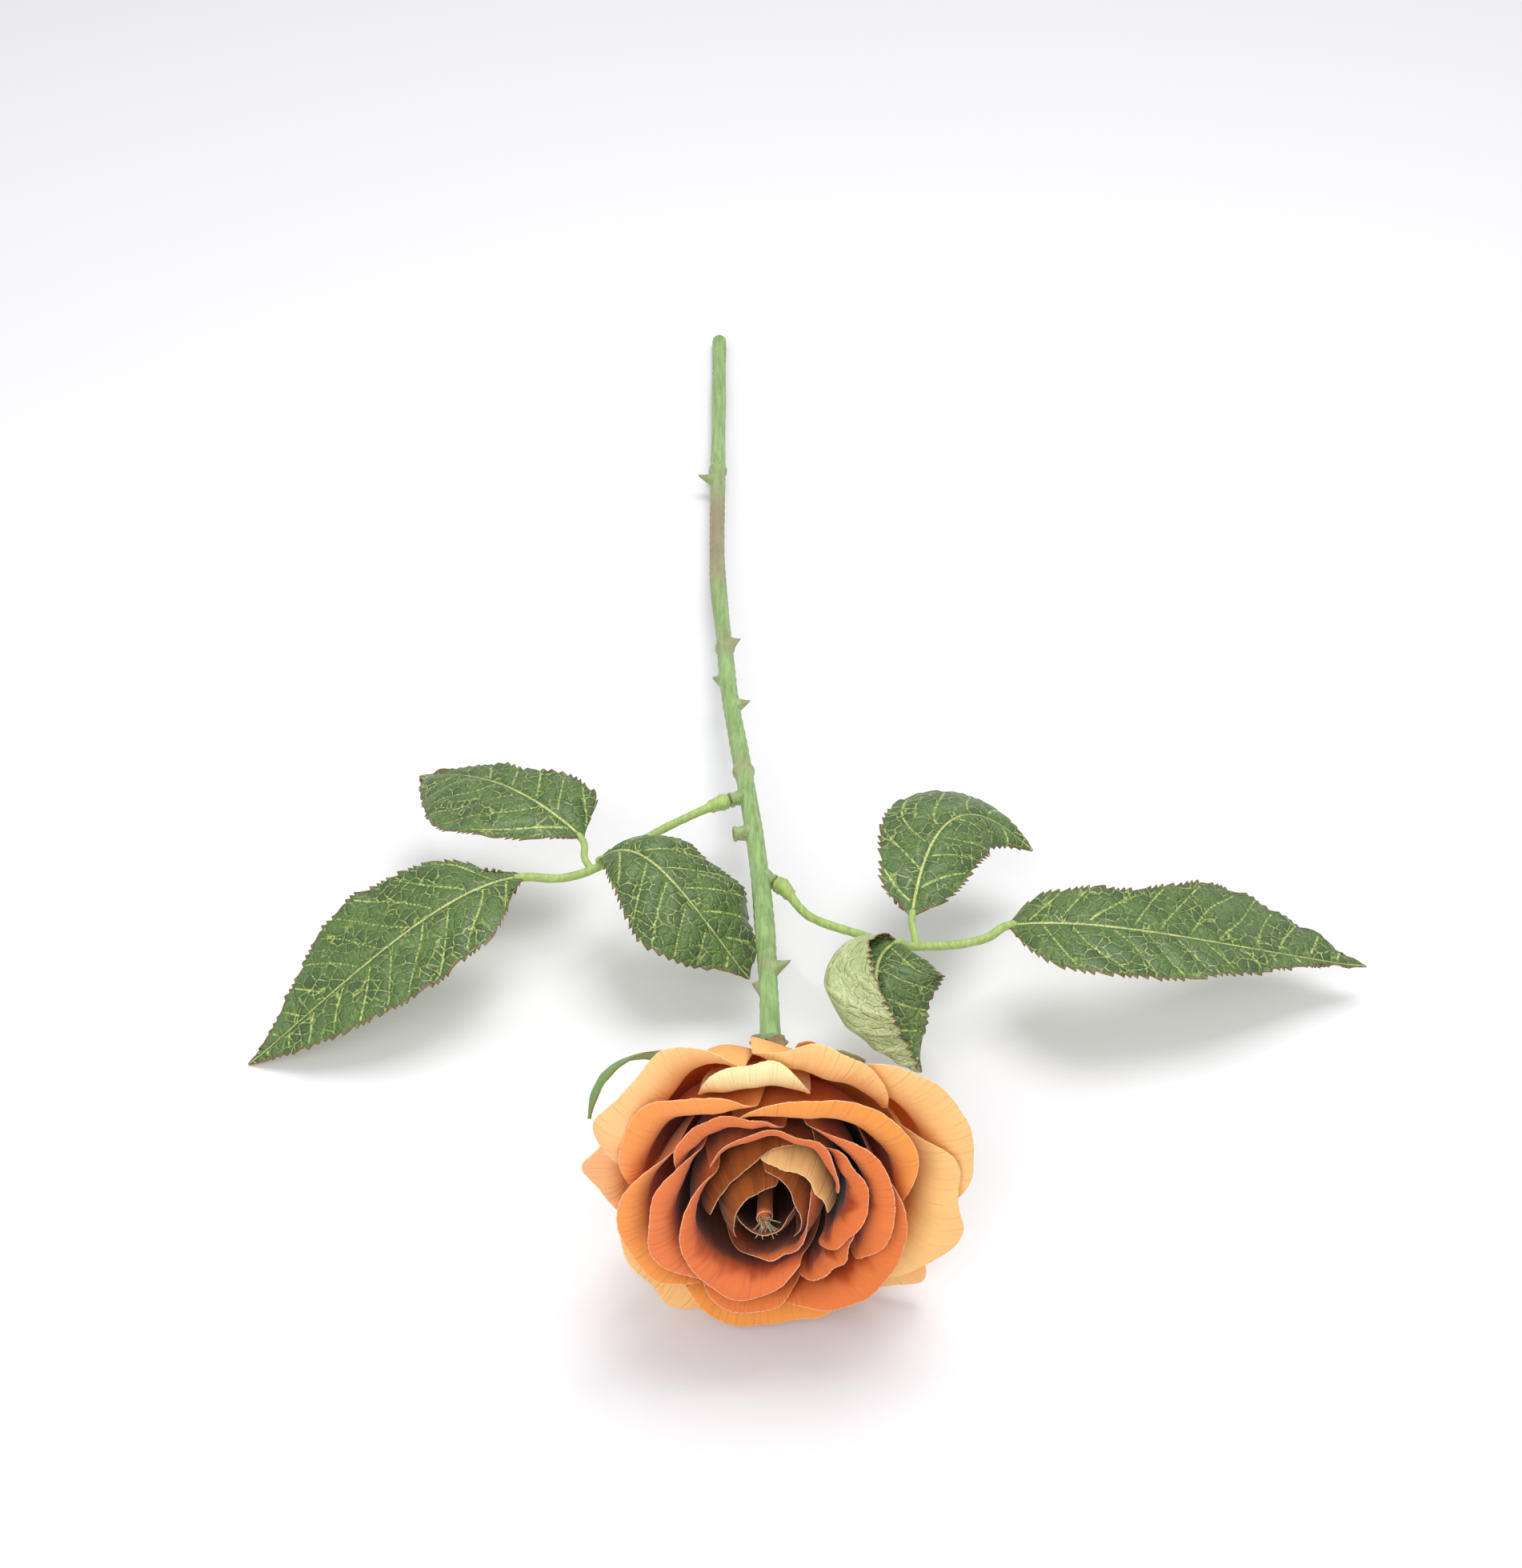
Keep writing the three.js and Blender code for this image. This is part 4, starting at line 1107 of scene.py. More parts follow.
@dataclass(frozen=True)
class Bloom:
    """The open bloom: five rings of petals round a rolled core."""

    rings: tuple[Ring, ...] = (OUTER_RING, MIDDLE_RING, INNER_RING, HEART_RING, BUD_RING)
    core_radius: float = 1.5
    core_top: float = 38.6
    core_turns: float = 2.6
    core_lean: float = 3.2
    thread_count: int = 30

    def build(self) -> None:
        """Makes every petal and the core."""
        cloths = {dye: dye.value.material() for dye in Dye}
        for number, ring in enumerate(self.rings):
            for place, petal in enumerate(ring.petals, 1):
                node = f"{ring.name}_{place}"
                shape = petal.shape(seed=100 * number + 10 * place)
                cloth = cloths[petal.dye or ring.dye]
                hand_over(shape, f"cloth_{node}", cloth, node)
        hand_over(self.core(), "rolled_core", cloths[Dye.CORE], "bloom_core")
        hand_over(self.threads(), "core_threads", cloths[Dye.THREAD], "bloom_core")

    def core(self) -> Shape:
        """The rolled strip: a spiral whose radius grows evenly from 0.45 to its full
        size over its turns, carried up the axis, with a ragged top.

        Returns:
            The shape with its painted values.
        """
        turn = np.linspace(0, 2 * np.pi * self.core_turns, 120)
        radius = np.interp(turn, [0, turn[-1]], [0.45, self.core_radius])
        top = self.core_top + 0.8 * ripple(turn / turn[-1], 3, 7) - 2.2 * turn / turn[-1]
        share = np.linspace(0, 1, 40)[:, None]
        height = -1.4 + (top + 1.4)[None, :] * share
        points = BLOOM.place(turn[None, :] + 0.4 * share, radius[None, :] * (1 + 0.25 * share**3), height)
        points = points - self.core_lean * share[..., None] ** 2 * BLOOM.directions()[1]
        to_rim = (top[None, :] + 1.4) * (1 - share)
        uv = np.stack(np.broadcast_arrays((turn * radius)[None, :], height), -1)
        to_side = np.broadcast_to(turn[None, :], to_rim.shape)
        return sheet(points, 0.22, uv, {
            "rim_distance": to_rim,
            "edge_distance": np.minimum(to_rim, to_side),
            "rosy": 0.5 * np.exp(-to_rim / 6),
        })

    def threads(self) -> Shape:
        """Frayed threads that stand up and spread out of the core, each a tapering tube
        whose distance from the axis grows with the power 1.4 of the way along it.

        Returns:
            All the threads in one shape.
        """
        dice = np.random.default_rng(31)
        whole = None
        for _ in range(self.thread_count):
            azimuth = dice.uniform(0, 2 * np.pi)
            t = np.linspace(0, 1, 7)
            reach = dice.uniform(0.2, 1.1) + dice.uniform(0.8, 3.0) * t**1.4
            height = self.core_top - 1 + dice.uniform(1.5, 3.2) * t
            path = BLOOM.place(azimuth + dice.uniform(-0.8, 0.8) * t, reach, height)
            path = path - self.core_lean * BLOOM.directions()[1]
            thread = tube(path, 0.2 * (1 - 0.55 * t), 5)
            count = len(thread.points)
            thread.painted = {
                "rim_distance": np.full(count, 0.5),
                "edge_distance": np.full(count, 0.3),
                "rosy": np.zeros(count),
                "face": np.zeros(count),
            }
            whole = thread if whole is None else whole.joined(thread)
        return whole


# ---- Calyx and sepals -----------------------------------------------------------------


@dataclass(frozen=True)
class Sepal:
    """A narrow pointed blade: its spine as four (azimuth in degrees, radius, height)
    points, its half width, its twist at the tip in degrees, and how downy it is."""

    spine: tuple
    half_width: float = 4.0
    twist: float = 0
    downy: float = 0.5

    ROWS = 90
    COLUMNS = 17
    THICKNESS = 0.4

    def shape(self, seed: int) -> Shape:
        """A cubic curve carries a width of w sin(pi(0.22 + 0.78t))^0.8 with small side
        lobes, turned about the curve by twist t, with raised edges and a keel.

        Args:
            seed: which lobes it has.

        Returns:
            The shape with its painted values.
        """
        t = np.linspace(0, 1, self.ROWS)
        knots = np.array(self.spine, float)
        path = bezier(BLOOM.place(np.radians(knots[:, 0]), knots[:, 1], knots[:, 2]), t)
        ahead = unit(np.gradient(path, axis=0))
        outward = path[self.ROWS // 2] - np.array(BLOOM.base, float)
        flat = unit(np.cross(BLOOM.directions()[2], outward))
        normal = unit(np.cross(ahead, flat))
        level = np.cross(normal, ahead)
        turn = np.radians(-self.twist * t)[:, None]
        sideways = level * np.cos(turn) + np.cross(ahead, level) * np.sin(turn)
        raised = np.cross(ahead, sideways)
        half = np.maximum(self.half_width * np.sin(np.pi * (0.22 + 0.78 * t)) ** 0.8, 0.25)
        half = half * (1 + 0.07 * ripple(t, 5, seed) * ease(t * 4))
        side = np.linspace(-1, 1, self.COLUMNS)
        offset = side[None, :] * half[:, None]
        sag = 0.5 * side**2 + 0.25 * np.exp(-((side / 0.12) ** 2))
        points = path[:, None] + offset[..., None] * sideways[:, None]
        points = points + sag[None, :, None] * raised[:, None]
        along = travelled(path)
        uv = np.stack(np.broadcast_arrays(offset, along[:, None]), -1)
        return sheet(points, self.THICKNESS, uv, {
            "edge_distance": half[:, None] * (1 - np.abs(side))[None, :],
            "rise": np.broadcast_to(t[:, None], (self.ROWS, self.COLUMNS)),
            "downy": np.full((self.ROWS, self.COLUMNS), self.downy),
        })


@dataclass(frozen=True)
class Calyx:
    """The moulded cup under the bloom and its five cloth sepals."""

    top: float = -1.9
    bottom: float = -12
    sepals: tuple[Sepal, ...] = (
        Sepal(((158, 6.3, -5.6), (168, 14.3, -9), (150, 44, -2), (172, 40, 15)), 3.2, 55, downy=0),
        Sepal(((92, 6.3, -5.6), (92, 12, -8), (92, 17, -5), (92, 20, 4)), downy=1),
        Sepal(((20, 6.3, -5.6), (20, 12, -8), (20, 19, -8), (20, 23, -5))),
        Sepal(((302, 6.3, -5.6), (302, 15, -8.5), (302, 27, -7), (302, 30, -3))),
        Sepal(((232, 6.3, -5.6), (232, 15, -8.5), (232, 27, -7), (232, 30, -3))))

    def build(self) -> None:
        """Makes the cup and the sepals."""
        plastic = MouldedPlastic("calyx_plastic", linear(150, 184, 108), linear(120, 156, 84))
        hand_over(self.cup(), "moulded_calyx", plastic.material(), "calyx_cup")
        cloth = SepalCloth().material()
        for number, sepal in enumerate(self.sepals, 1):
            node = f"sepal_{number}"
            hand_over(sepal.shape(number), f"cloth_{node}", cloth, node)

    def cup(self) -> Shape:
        """The cup: a smooth profile turned round the bloom's axis, its belly swelling
        and sinking five times round as radius (1 + 0.03 cos 5a).

        Returns:
            The closed cup.
        """
        knots = [(self.bottom, 2.5), (self.bottom + 1.2, 2.7), (self.bottom + 3, 3.9),
                 (self.bottom + 5, 5.2), (self.bottom + 6.6, 5.6), (self.bottom + 8.4, 5.3), (self.top, 4.9)]
        height = np.linspace(self.bottom, self.top, 40)
        radius = through_knots(knots, height)
        angle = np.linspace(0, 2 * np.pi, 60, endpoint=False)
        lobed = radius[:, None] * (1 + 0.03 * np.cos(5 * angle) * ease((height - self.bottom) / 6)[:, None])
        right, up, axis = BLOOM.directions()
        centres = np.array(BLOOM.base, float) + height[:, None] * axis
        loops = rings(centres, right, up, lobed, 60)
        shape = capped(loops, height)
        shape.painted["stain"] = np.zeros(len(shape.points))
        return shape


# ---- Stem --------------------------------------------------------------------------


@dataclass(frozen=True)
class Thorn:
    """Where a thorn stands along the stem, the way it points and its length."""

    at: float
    way: tuple[float, float, float]
    length: float


@dataclass(frozen=True)
class Socket:
    """A collar on the stem that takes a leaf stalk."""

    name: str
    at: float
    way: tuple[float, float, float]
    length: float
    filled: bool = True


@dataclass(frozen=True)
class Stem:
    """The moulded stem: a rod with nodes and thorns grown out of it, and three collars.
    A node is (place along, added radius) and a stain (place along, strength, length)."""

    path: tuple = ((-15.6, 807, 2.5), (-14.9, 740, 5), (-14.6, 699, 7), (-13.7, 636, 10),
                   (-11.2, 597, 13), (-9.1, 564, 16), (-5.9, 534, 18.5), (-3.3, 509, 21),
                   (-1.5, 490, 23), (0.4, 462, 26), (1.9, 422, 31.5))
    radius: float = 2.45
    nodes: tuple = ((706, 0.55), (592, 0.55), (524, 0.6))
    thorns: tuple[Thorn, ...] = (
        Thorn(698, (-1, 0.35, 0.15), 5.2), Thorn(594, (1, 0.2, 0.2), 2.8),
        Thorn(572, (-1, 0.1, 0.2), 2.4), Thorn(559, (1, -0.1, 0.3), 3.6),
        Thorn(432, (1, 0.1, 0.35), 4.0), Thorn(424, (-1, 0, 0.3), 2.4))
    sockets: tuple[Socket, ...] = (
        Socket("left", 512, (-1, -0.5, 0.05), 5.4),
        Socket("empty", 494, (-1, -0.2, 0.05), 5.6, filled=False),
        Socket("right", 474, (1, -0.75, -0.05), 4.6))
    ring_count: int = 700
    sides: int = 52
    stains: tuple = ((700, 0.3, 6), (660, 0.75, 34), (592, 0.5, 7), (524, 0.4, 6), (432, 0.3, 4))

    def centre_line(self) -> Array:
        """Points along the stem's middle, from the cut end to the calyx."""
        foot = BLOOM.place(np.array(0.0), np.array(0.0), np.array(-12.3))
        return smooth_path([*self.path, tuple(foot)], 4400)

    def centre_at(self, y: float) -> Array:
        """The stem's centre at a distance y along the surface."""
        line = self.centre_line()
        return line[np.abs(line[:, 1] - y).argmin()]

    def collar_face(self, socket: Socket, depth: float = 0.3) -> Array:
        """A point on a socket's line, past its far end by a depth."""
        return self.centre_at(socket.at) + unit(np.array(socket.way)) * (socket.length + depth)

    def build(self) -> None:
        """Makes the rod and the collars."""
        plastic = MouldedPlastic("stem_plastic", linear(152, 182, 116), linear(118, 150, 88)).material()
        hand_over(self.rod(), "moulded_stem", plastic, "stem")
        for socket in self.sockets:
            collar = self.collar(socket)
            hand_over(collar, f"stem_collar_{socket.name}", plastic, "stem")

    def rod(self) -> Shape:
        """The rod: rings along the centre line, closer together where something
        grows. A node adds a e^-((y - at)/1.7)^2 to the radius. A thorn moves the
        points round its foot along its way by length (1 - d)^1.6, d being the
        distance from its foot as a share of the foot's size.

        Returns:
            The rod with its stains painted on.
        """
        line = self.centre_line()
        whole = travelled(line)
        busy = np.zeros(len(line))
        for spot in [thorn.at for thorn in self.thorns] + [at for at, _ in self.nodes]:
            busy = np.maximum(busy, np.exp(-(((line[:, 1] - spot) / 4.5) ** 4)))
        density = travelled(np.stack([np.cumsum(np.gradient(whole) * (0.9 + 2.6 * busy))] * 3, 1) / 3**0.5)
        lengths = np.interp(np.linspace(0, density[-1], self.ring_count), density, whole)
        path = spaced(line, lengths)
        y = path[:, 1]
        angle = np.linspace(0, 2 * np.pi, self.sides, endpoint=False)
        radius = self.radius + 0.12 * ripple(lengths / 100, 1.3, 5) + 0.05 * ripple(lengths / 10, 2, 6)
        radius = radius + sum(size * np.exp(-(((y - at) / 1.7) ** 2)) for at, size in self.nodes)
        cut = np.minimum(lengths, lengths[-1] - lengths)
        radius = radius * (0.8 + 0.2 * ease(cut / 0.5))
        rough = 1 + 0.012 * ripple(angle, 1.0, 8)[None, :] + 0 * y[:, None]
        ahead = unit(np.gradient(path, axis=0))
        across = unit(np.cross([0.0, 0.0, 1.0], ahead))
        upward = np.cross(ahead, across)
        loops = rings(path, -across, upward, radius[:, None] * rough, self.sides)
        stain = sum(part * np.exp(-(((y - at) / size) ** 4)) for at, part, size in self.stains)
        stain = np.repeat(np.clip(stain, 0, 1)[:, None], self.sides, axis=1)
        for thorn in self.thorns:
            way = unit(np.array(thorn.way, float))
            foot = self.centre_at(thorn.at) + way * self.radius
            apart = loops - foot
            lifted = np.clip(1 - np.linalg.norm(apart, axis=-1) / 2.7, 0, 1) ** 1.6
            drawn = way * thorn.length + np.array([0, 0.9, 0]) * lifted[..., None]
            loops = loops + lifted[..., None] * drawn
            stain = np.maximum(stain, 0.7 * ease(lifted * 1.6))
        return capped(loops, lengths, {"stain": stain})

    def collar(self, socket: Socket) -> Shape:
        """A collar: a flared foot, a waist and a lip turned round its own line, with
        a blind hole where no stalk is pushed in.

        Args:
            socket: where it stands and how long it is.

        Returns:
            The closed collar.
        """
        end = socket.length
        profile = [(0.6, 1.6), (1.2, 2.5), (2.2, 2.35), (3.0, 2.05), (end - 1.3, 1.8), (end - 0.9, 1.82),
                   (end - 0.7, 2.1), (end - 0.2, 2.14), (end, 2.0)]
        if not socket.filled:
            profile += [(end, 1.45), (end - 0.3, 1.3), (end - 2.4, 1.1)]
        smooth = [(np.interp(k, range(len(profile)), [h for h, _ in profile]),
                   np.interp(k, range(len(profile)), [r for _, r in profile]))
                  for k in np.linspace(0, len(profile) - 1, 4 * len(profile))]
        shape = turned(self.centre_at(socket.at), socket.way, smooth, 40)
        shape.painted["stain"] = np.full(len(shape.points), 0.25)
        return shape


STEM = Stem()


# ---- Leaf stalks and leaflets --------------------------------------------------------


@dataclass(frozen=True)
class LeafStalk:
    """A moulded plug, the stalk that runs out of it and its short petioles."""

    name: str
    socket: Socket
    route: tuple
    petioles: tuple
    radius: float = 1.12
    petiole_radius: float = 0.95

    def build(self) -> None:
        """Makes the stalk."""
        plastic = MouldedPlastic(f"stalk_plastic_{self.name}", linear(170, 196, 112), linear(142, 172, 90))
        node = f"leaf_stalk_{self.name}"
        hand_over(self.shape(), f"moulded_{node}", plastic.material(), node)

    def shape(self) -> Shape:
        """The stalk: one tube that narrows from the plug over its first 9 mm or so, with
        two ridges on the plug, and the petioles' tubes beside it.

        Returns:
            The tubes in one shape.
        """
        start = STEM.collar_face(self.socket)
        inner = STEM.collar_face(self.socket, 2.8)
        line = smooth_path([start, inner, *self.route], 900)
        lengths = np.linspace(0, travelled(line)[-1], 260)
        path = spaced(line, lengths)
        plug = 1.05 * (1 - ease((lengths - 1.5) / 8.0))
        plug = plug + 0.22 * sum(np.exp(-(((lengths - at) / 0.35) ** 2)) for at in (2.2, 5.6))
        radius = self.radius + plug + 0.05 * ripple(lengths / 10, 1.5, 4)
        ends = np.minimum(lengths, lengths[-1] - lengths)
        whole = tube(path, radius * (0.55 + 0.45 * ease(ends / 0.7)), 32)
        for petiole in self.petioles:
            line = smooth_path(list(petiole), 60)
            lengths = np.linspace(0, travelled(line)[-1], 40)
            ends = lengths[-1] - lengths
            radius = self.petiole_radius * (0.5 + 0.5 * ease(ends / 0.7))
            whole = whole.joined(tube(spaced(line, lengths), radius, 24))
        whole.painted["stain"] = np.full(len(whole.points), 0.12)
        return whole


@dataclass(frozen=True)
class BladeSide:
    """One side of a leaflet: its widths at the places WIDTH_AT along it, how far its
    edge is turned up, in degrees, at the base, the middle and the tip, and the shares
    of its width between which it folds, if it does."""

    widths: tuple[float, ...]
    turn_up: tuple[float, float, float]
    fold: tuple[float, float] | None = None


WIDTH_AT = (0, 0.1, 0.25, 0.4, 0.55, 0.7, 0.85, 0.95, 1)


@dataclass(frozen=True)
class Leaflet:
    """A printed cloth leaflet: a curved blade with serrated edges round a spine of
    four points; the first side lies to the right of the way that the spine runs."""

    name: str
    spine: tuple
    first: BladeSide
    second: BladeSide

    ROWS = 330
    HALF_COLUMNS = 26
    THICKNESS = 0.32
    TOOTH = 2.5
    TOOTH_DEPTH = 1.3
    VEIN_GAP = 8.5
    CURL_STEPS = 120

    def build(self, cloth: bpy.types.Material) -> None:
        """Makes the leaflet."""
        node = f"leaflet_{self.name}"
        hand_over(self.shape(), f"cloth_{node}", cloth, node)

    def side(self, blade: BladeSide, t: Array, along: Array, seed: int) -> tuple[Array, Array, Array]:
        """One side's travel from the spine: at each step across, the blade turns up by
        turn_up times the share of its width, or by the whole turn within its fold.

        Args:
            blade: the side's sizes.
            t: place along the spine, 0 to 1.
            along: the same in millimetres.
            seed: which teeth it has.

        Returns:
            Sideways travel, upward travel and distance from the spine, rows x columns.
        """
        width = through_knots(list(zip(WIDTH_AT, blade.widths)), t)
        width = np.maximum(width, 0.3)
        phase = along / self.TOOTH + 0.5 * ripple(along / 20, 1.2, seed)
        tooth = self.TOOTH_DEPTH * (1 - phase % 1.0) * ease(width / 5)
        share = 1 - (1 - np.linspace(0, 1, self.HALF_COLUMNS + 1)) ** 1.5
        reach = width[:, None] * share[None, :] - tooth[:, None] * ease((share[None, :] - 0.8) / 0.2)
        turned_by = np.linspace(0, 1, self.CURL_STEPS + 1)
        if blade.fold is not None:
            start, end = blade.fold
            turned_by = ease((turned_by - start) / (end - start))
        angle = np.radians(np.interp(t, [0, 0.5, 1], blade.turn_up))[:, None] * turned_by[None, :]
        middle = (angle[:, 1:] + angle[:, :-1]) / 2
        step = width[:, None] / self.CURL_STEPS
        flat = np.concatenate([np.zeros((len(t), 1)), np.cumsum(np.cos(middle) * step, axis=1)], axis=1)
        lift = np.concatenate([np.zeros((len(t), 1)), np.cumsum(np.sin(middle) * step, axis=1)], axis=1)
        place = np.clip(reach / width[:, None], 0, 1) * self.CURL_STEPS
        k = np.minimum(place.astype(int), self.CURL_STEPS - 1)
        part = place - k
        row = np.arange(len(t))[:, None]
        sideways = flat[row, k] * (1 - part) + flat[row, k + 1] * part
        upward = lift[row, k] * (1 - part) + lift[row, k + 1] * part
        return sideways, upward, reach

    def shape(self) -> Shape:
        """The whole blade, quilted between its veins: secondary veins leave the spine
        every VEIN_GAP and curve to the tip as s = s0 + 0.62 d + 0.012 d^2.

        Returns:
            The shape with its painted values.
        """
        seed = sum(map(ord, self.name))
        t = np.linspace(0, 1, self.ROWS)
        spine = np.array(self.spine, float)
        middle = bezier(spine, t)
        along = travelled(middle)
        ahead = unit(np.gradient(middle, axis=0))
        sideways = unit(np.cross([0.0, 0.0, 1.0], ahead))
        upward = np.cross(ahead, sideways)
        first = self.side(self.first, t, along, seed)
        second = self.side(self.second, t, along, seed + 1)
        flat = np.concatenate([-first[0][:, :0:-1], second[0]], axis=1)
        lift = np.concatenate([first[1][:, :0:-1], second[1]], axis=1)
        out = np.concatenate([-first[2][:, :0:-1], second[2]], axis=1)
        points = middle[:, None] + flat[..., None] * sideways[:, None] + lift[..., None] * upward[:, None]
        away = np.abs(out)
        widest = np.stack([first[2][:, -1], second[2][:, -1]], 1)
        limit = np.where(out < 0, widest[:, :1], widest[:, 1:])
        stagger = np.where(out < 0, 0.0, 0.45)
        phase = (along[:, None] - 0.62 * away - 0.012 * away**2) / self.VEIN_GAP + stagger
        phase = phase + 0.12 * ripple(along / 30, 1.0, seed + 2)[:, None]
        vein = np.abs((phase + 0.5) % 1.0 - 0.5) * self.VEIN_GAP * 0.8
        inner = ease((limit - away) / 5)
        quilt = 0.55 * (1 - np.exp(-((vein / 1.5) ** 2))) * ease(away / 2.5) * (0.3 + 0.7 * inner)
        groove = -0.45 * np.exp(-((out / 0.8) ** 2))
        swell = 0.5 * ripple(along / 40, 1.0, seed + 3)[:, None] * ease(away / 8)
        outer_part = ease((away / np.maximum(limit, 1) - 0.6) / 0.4)
        wavy = 0.6 * ripple(along / 14, 0.8, seed + 4)[:, None] * outer_part
        normal = unit(np.cross(np.gradient(points, axis=0), np.gradient(points, axis=1)))
        ends = ease(t / 0.05) * ease((1 - t) / 0.05)
        points = points + normal * ((quilt + groove + swell + wavy) * ends[:, None])[..., None]
        to_edge = np.minimum(limit - away, np.minimum(along, along[-1] - along)[:, None] + 0.3)
        uv = np.stack(np.broadcast_arrays(out, along[:, None]), -1)
        return sheet(points, self.THICKNESS * (0.5 + 0.5 * ease(to_edge / 1.0)), uv, {
            "edge_distance": to_edge,
            "vein_distance": vein + 3 * (1 - ease(away / 1.2)) + 2 * (1 - ease((limit - away) / 1.6)),
            "rib_distance": away + 0.25 * ease(t)[:, None],
        })


@dataclass(frozen=True)
class LeafSpray:
    """A leaf stalk with its three leaflets."""

    stalk: LeafStalk
    leaflets: tuple[Leaflet, ...]

    def build(self, cloth: bpy.types.Material) -> None:
        """Makes the stalk and its leaflets."""
        self.stalk.build()
        for leaflet in self.leaflets:
            leaflet.build(cloth)


LEFT_SPRAY = LeafSpray(
    LeafStalk(
        "left", STEM.sockets[0],
        ((-23, 498, 22.5), (-34, 486, 24.5), (-44, 474.5, 26), (-52, 470, 27),
         (-60, 469.6, 27.8), (-63.6, 467.8, 28.9)),
        (((-44, 474.5, 26), (-46, 478, 27), (-46.4, 482.6, 28.4), (-48.4, 485, 29.8)),
         ((-41, 477.8, 25.5), (-42, 477.6, 26.2), (-42.2, 477.2, 27), (-40.6, 476.6, 28.4)))),
    (
        Leaflet("left_terminal", ((-61, 470, 28), (-79, 457, 37), (-101, 443, 20), (-129, 429, 0.5)),
                BladeSide((0.5, 5, 14.5, 18, 20, 17, 8.5, 2.5, 0.3), (5, 15, 5)),
                BladeSide((0.5, 7, 16, 18, 18.5, 15.5, 10, 4, 0.3), (-15, -20, -10))),
        Leaflet("left_upper", ((-46.5, 484, 29), (-58, 489, 38), (-72, 505, 37), (-94, 519, 22)),
                BladeSide((0.5, 13, 15, 12, 9.5, 7.5, 3, 1, 0.3), (-10, 10, -10)),
                BladeSide((0.5, 6, 14, 21, 23.5, 20.5, 12.5, 5, 0.3), (-20, 0, -20))),
        Leaflet("left_inner", ((-42.4, 477, 27.6), (-31, 474, 42), (-20, 458, 34), (-3, 447, 13)),
                BladeSide((0.5, 5, 10.5, 13.5, 16.5, 18, 12, 3.5, 0.3), (-20, -30, -20)),
                BladeSide((0.5, 4, 12.5, 15.5, 17, 19, 16, 8, 0.3), (-20, -35, -20))),
    ),
)
RIGHT_SPRAY = LeafSpray(
    LeafStalk(
        "right", STEM.sockets[2],
        ((12, 459, 24), (23, 451.5, 25), (35, 445.5, 26), (42, 444, 27), (51, 444, 28),
         (57, 446.4, 28), (61.2, 450.2, 28), (64.4, 450.2, 28.9)),
        (((39, 444.5, 26.6), (38.4, 449, 27.6), (38, 451.8, 28.6), (38.4, 455, 29.7)),
         ((37.4, 444.8, 26.2), (36, 444.9, 26.8), (34.9, 445, 27.4), (33.2, 443.6, 28.2)))),
    (
        Leaflet("right_upper", ((38, 453, 29), (41, 470, 36), (49, 498, 43), (72, 487, 22)),
                BladeSide((0.5, 8, 12.5, 14, 14.5, 13.5, 9, 4, 0.3), (-20, -40, -40)),
                BladeSide((0.5, 8.5, 12, 16, 18.5, 16, 8, 3, 0.3), (10, -20, -20))),
        Leaflet("right_terminal", ((62, 451, 28), (84, 444, 38), (118, 447, 24), (156, 455, 10)),
                BladeSide((0.5, 10.5, 16.5, 16, 14, 9.5, 4, 1.5, 0.3), (-10, -20, 0)),
                BladeSide((0.5, 11.5, 13.5, 14.5, 19, 22, 15, 5, 0.3), (0, 15, 0))),
        Leaflet("right_lower", ((34, 445, 28), (24, 432, 33), (28, 420, 28), (39, 413, 14)),
                BladeSide((0.5, 12, 21, 26, 26, 22, 15, 7, 0.3), (140, 172, 160), fold=(0.35, 0.65)),
                BladeSide((0.5, 10, 15.5, 17, 16.5, 13.5, 8, 3, 0.3), (0, 0, -10))),
    ),
)


# ---- Studio ---------------------------------------------------------------------------


@dataclass(frozen=True)
class Lamp:
    """A soft square lamp: its place, its size, its power and its colour."""

    name: str
    place: tuple[float, float, float]
    size: float
    power: float
    colour: Colour = (1, 1, 1)


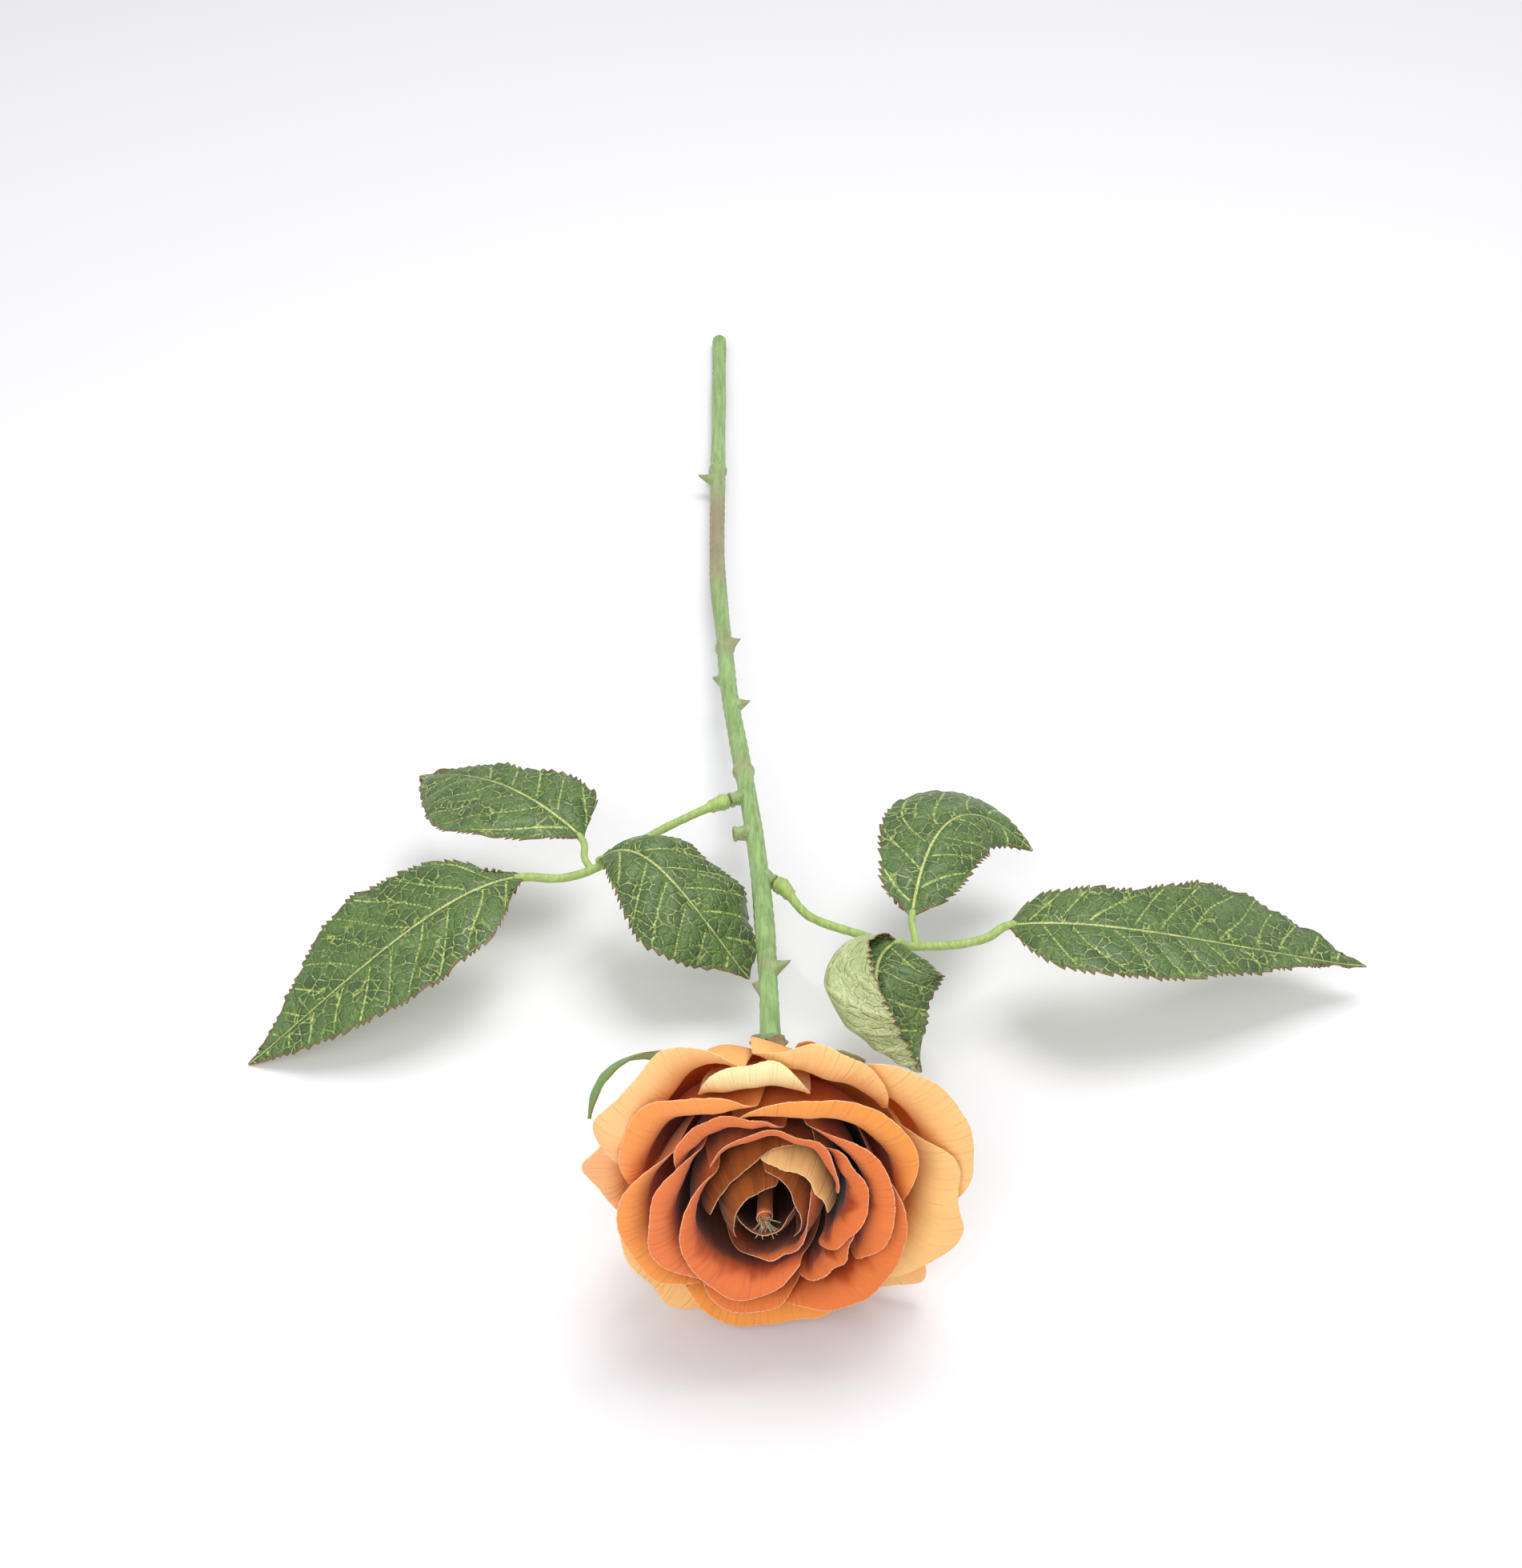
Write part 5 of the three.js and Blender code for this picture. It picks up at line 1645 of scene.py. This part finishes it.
@dataclass(frozen=True)
class Studio:
    """The table, the soft lamps and the camera, whose place is in the maker's own
    frame, whose pitch is in degrees down from level, and whose lens is a share of
    the longer side of the picture."""

    camera_place: tuple[float, float, float] = (0, 0, 432)
    pitch: float = 38.5
    focal_share: float = 3000 / 1960
    sensor: float = 36
    table_half: float = 3.0
    surround: float = 0.72
    lamps: tuple[Lamp, ...] = (
        Lamp("key_lamp", (0.15, 0.1, 1.1), 0.6, 7.2, (1.0, 0.99, 0.98)),
        Lamp("front_lamp", (-0.25, -1.0, 0.75), 0.8, 6.8, (1.0, 0.99, 0.98)),
    )

    def build(self) -> None:
        """Sets up the whole studio."""
        self.add_table()
        self.add_surround()
        for lamp in self.lamps:
            self.add_lamp(lamp)
        self.add_camera()

    def add_table(self) -> None:
        """A wide flat plate whose top is the surface that the rose lies on."""
        half = self.table_half / MM
        corners = np.array([[-half, -half, 0], [half, -half, 0], [half, half, 0], [-half, half, 0]])
        plate = Shape(corners - ROW_SHIFT, np.array([[0, 1, 2, 3]])).to_object("table_top")
        plate.data.materials.append(TableTop().material())

    def add_surround(self) -> None:
        """Even pale light from all round."""
        world = bpy.data.worlds.new("pale_surround")
        bpy.context.scene.world = world
        world.use_nodes = True
        light = world.node_tree.nodes["Background"]
        light.inputs[0].default_value = (1.0, 0.995, 1.0, 1.0)
        light.inputs[1].default_value = self.surround

    def add_lamp(self, lamp: Lamp) -> None:
        """One square lamp, turned towards the middle of the rose.

        Args:
            lamp: its place, size, power and colour.
        """
        data = bpy.data.lights.new(lamp.name, "AREA")
        data.size = lamp.size
        data.energy = lamp.power
        data.color = lamp.colour
        made = bpy.data.objects.new(lamp.name, data)
        made.location = lamp.place
        middle = (CAD_BOX[0] + CAD_BOX[1]) / 2
        made.rotation_euler = (middle - made.location).to_track_quat("-Z", "Y").to_euler()
        bpy.context.scene.collection.objects.link(made)

    def add_camera(self) -> None:
        """The camera, level and pitched down towards the rose."""
        data = bpy.data.cameras.new("view")
        data.sensor_width = self.sensor
        data.lens = self.sensor * self.focal_share
        data.clip_start = 0.01
        camera = bpy.data.objects.new("view", data)
        camera.location = tuple((np.array(self.camera_place) + ROW_SHIFT) * MM)
        camera.rotation_euler = (math.radians(90 - self.pitch), 0, 0)
        bpy.context.scene.collection.objects.link(camera)
        bpy.context.scene.camera = camera
        scene = bpy.context.scene
        scene.view_settings.view_transform = "Standard"
        scene.view_settings.look = "None"


def main() -> None:
    """Builds the rose piece by piece and then the studio."""
    logging.basicConfig(level=logging.INFO, format="%(name)s: %(message)s")
    Bloom().build()
    Calyx().build()
    STEM.build()
    cloth = LeafCloth().material()
    for spray in (LEFT_SPRAY, RIGHT_SPRAY):
        spray.build(cloth)
    Studio().build()


if __name__ == "__main__":
    main()
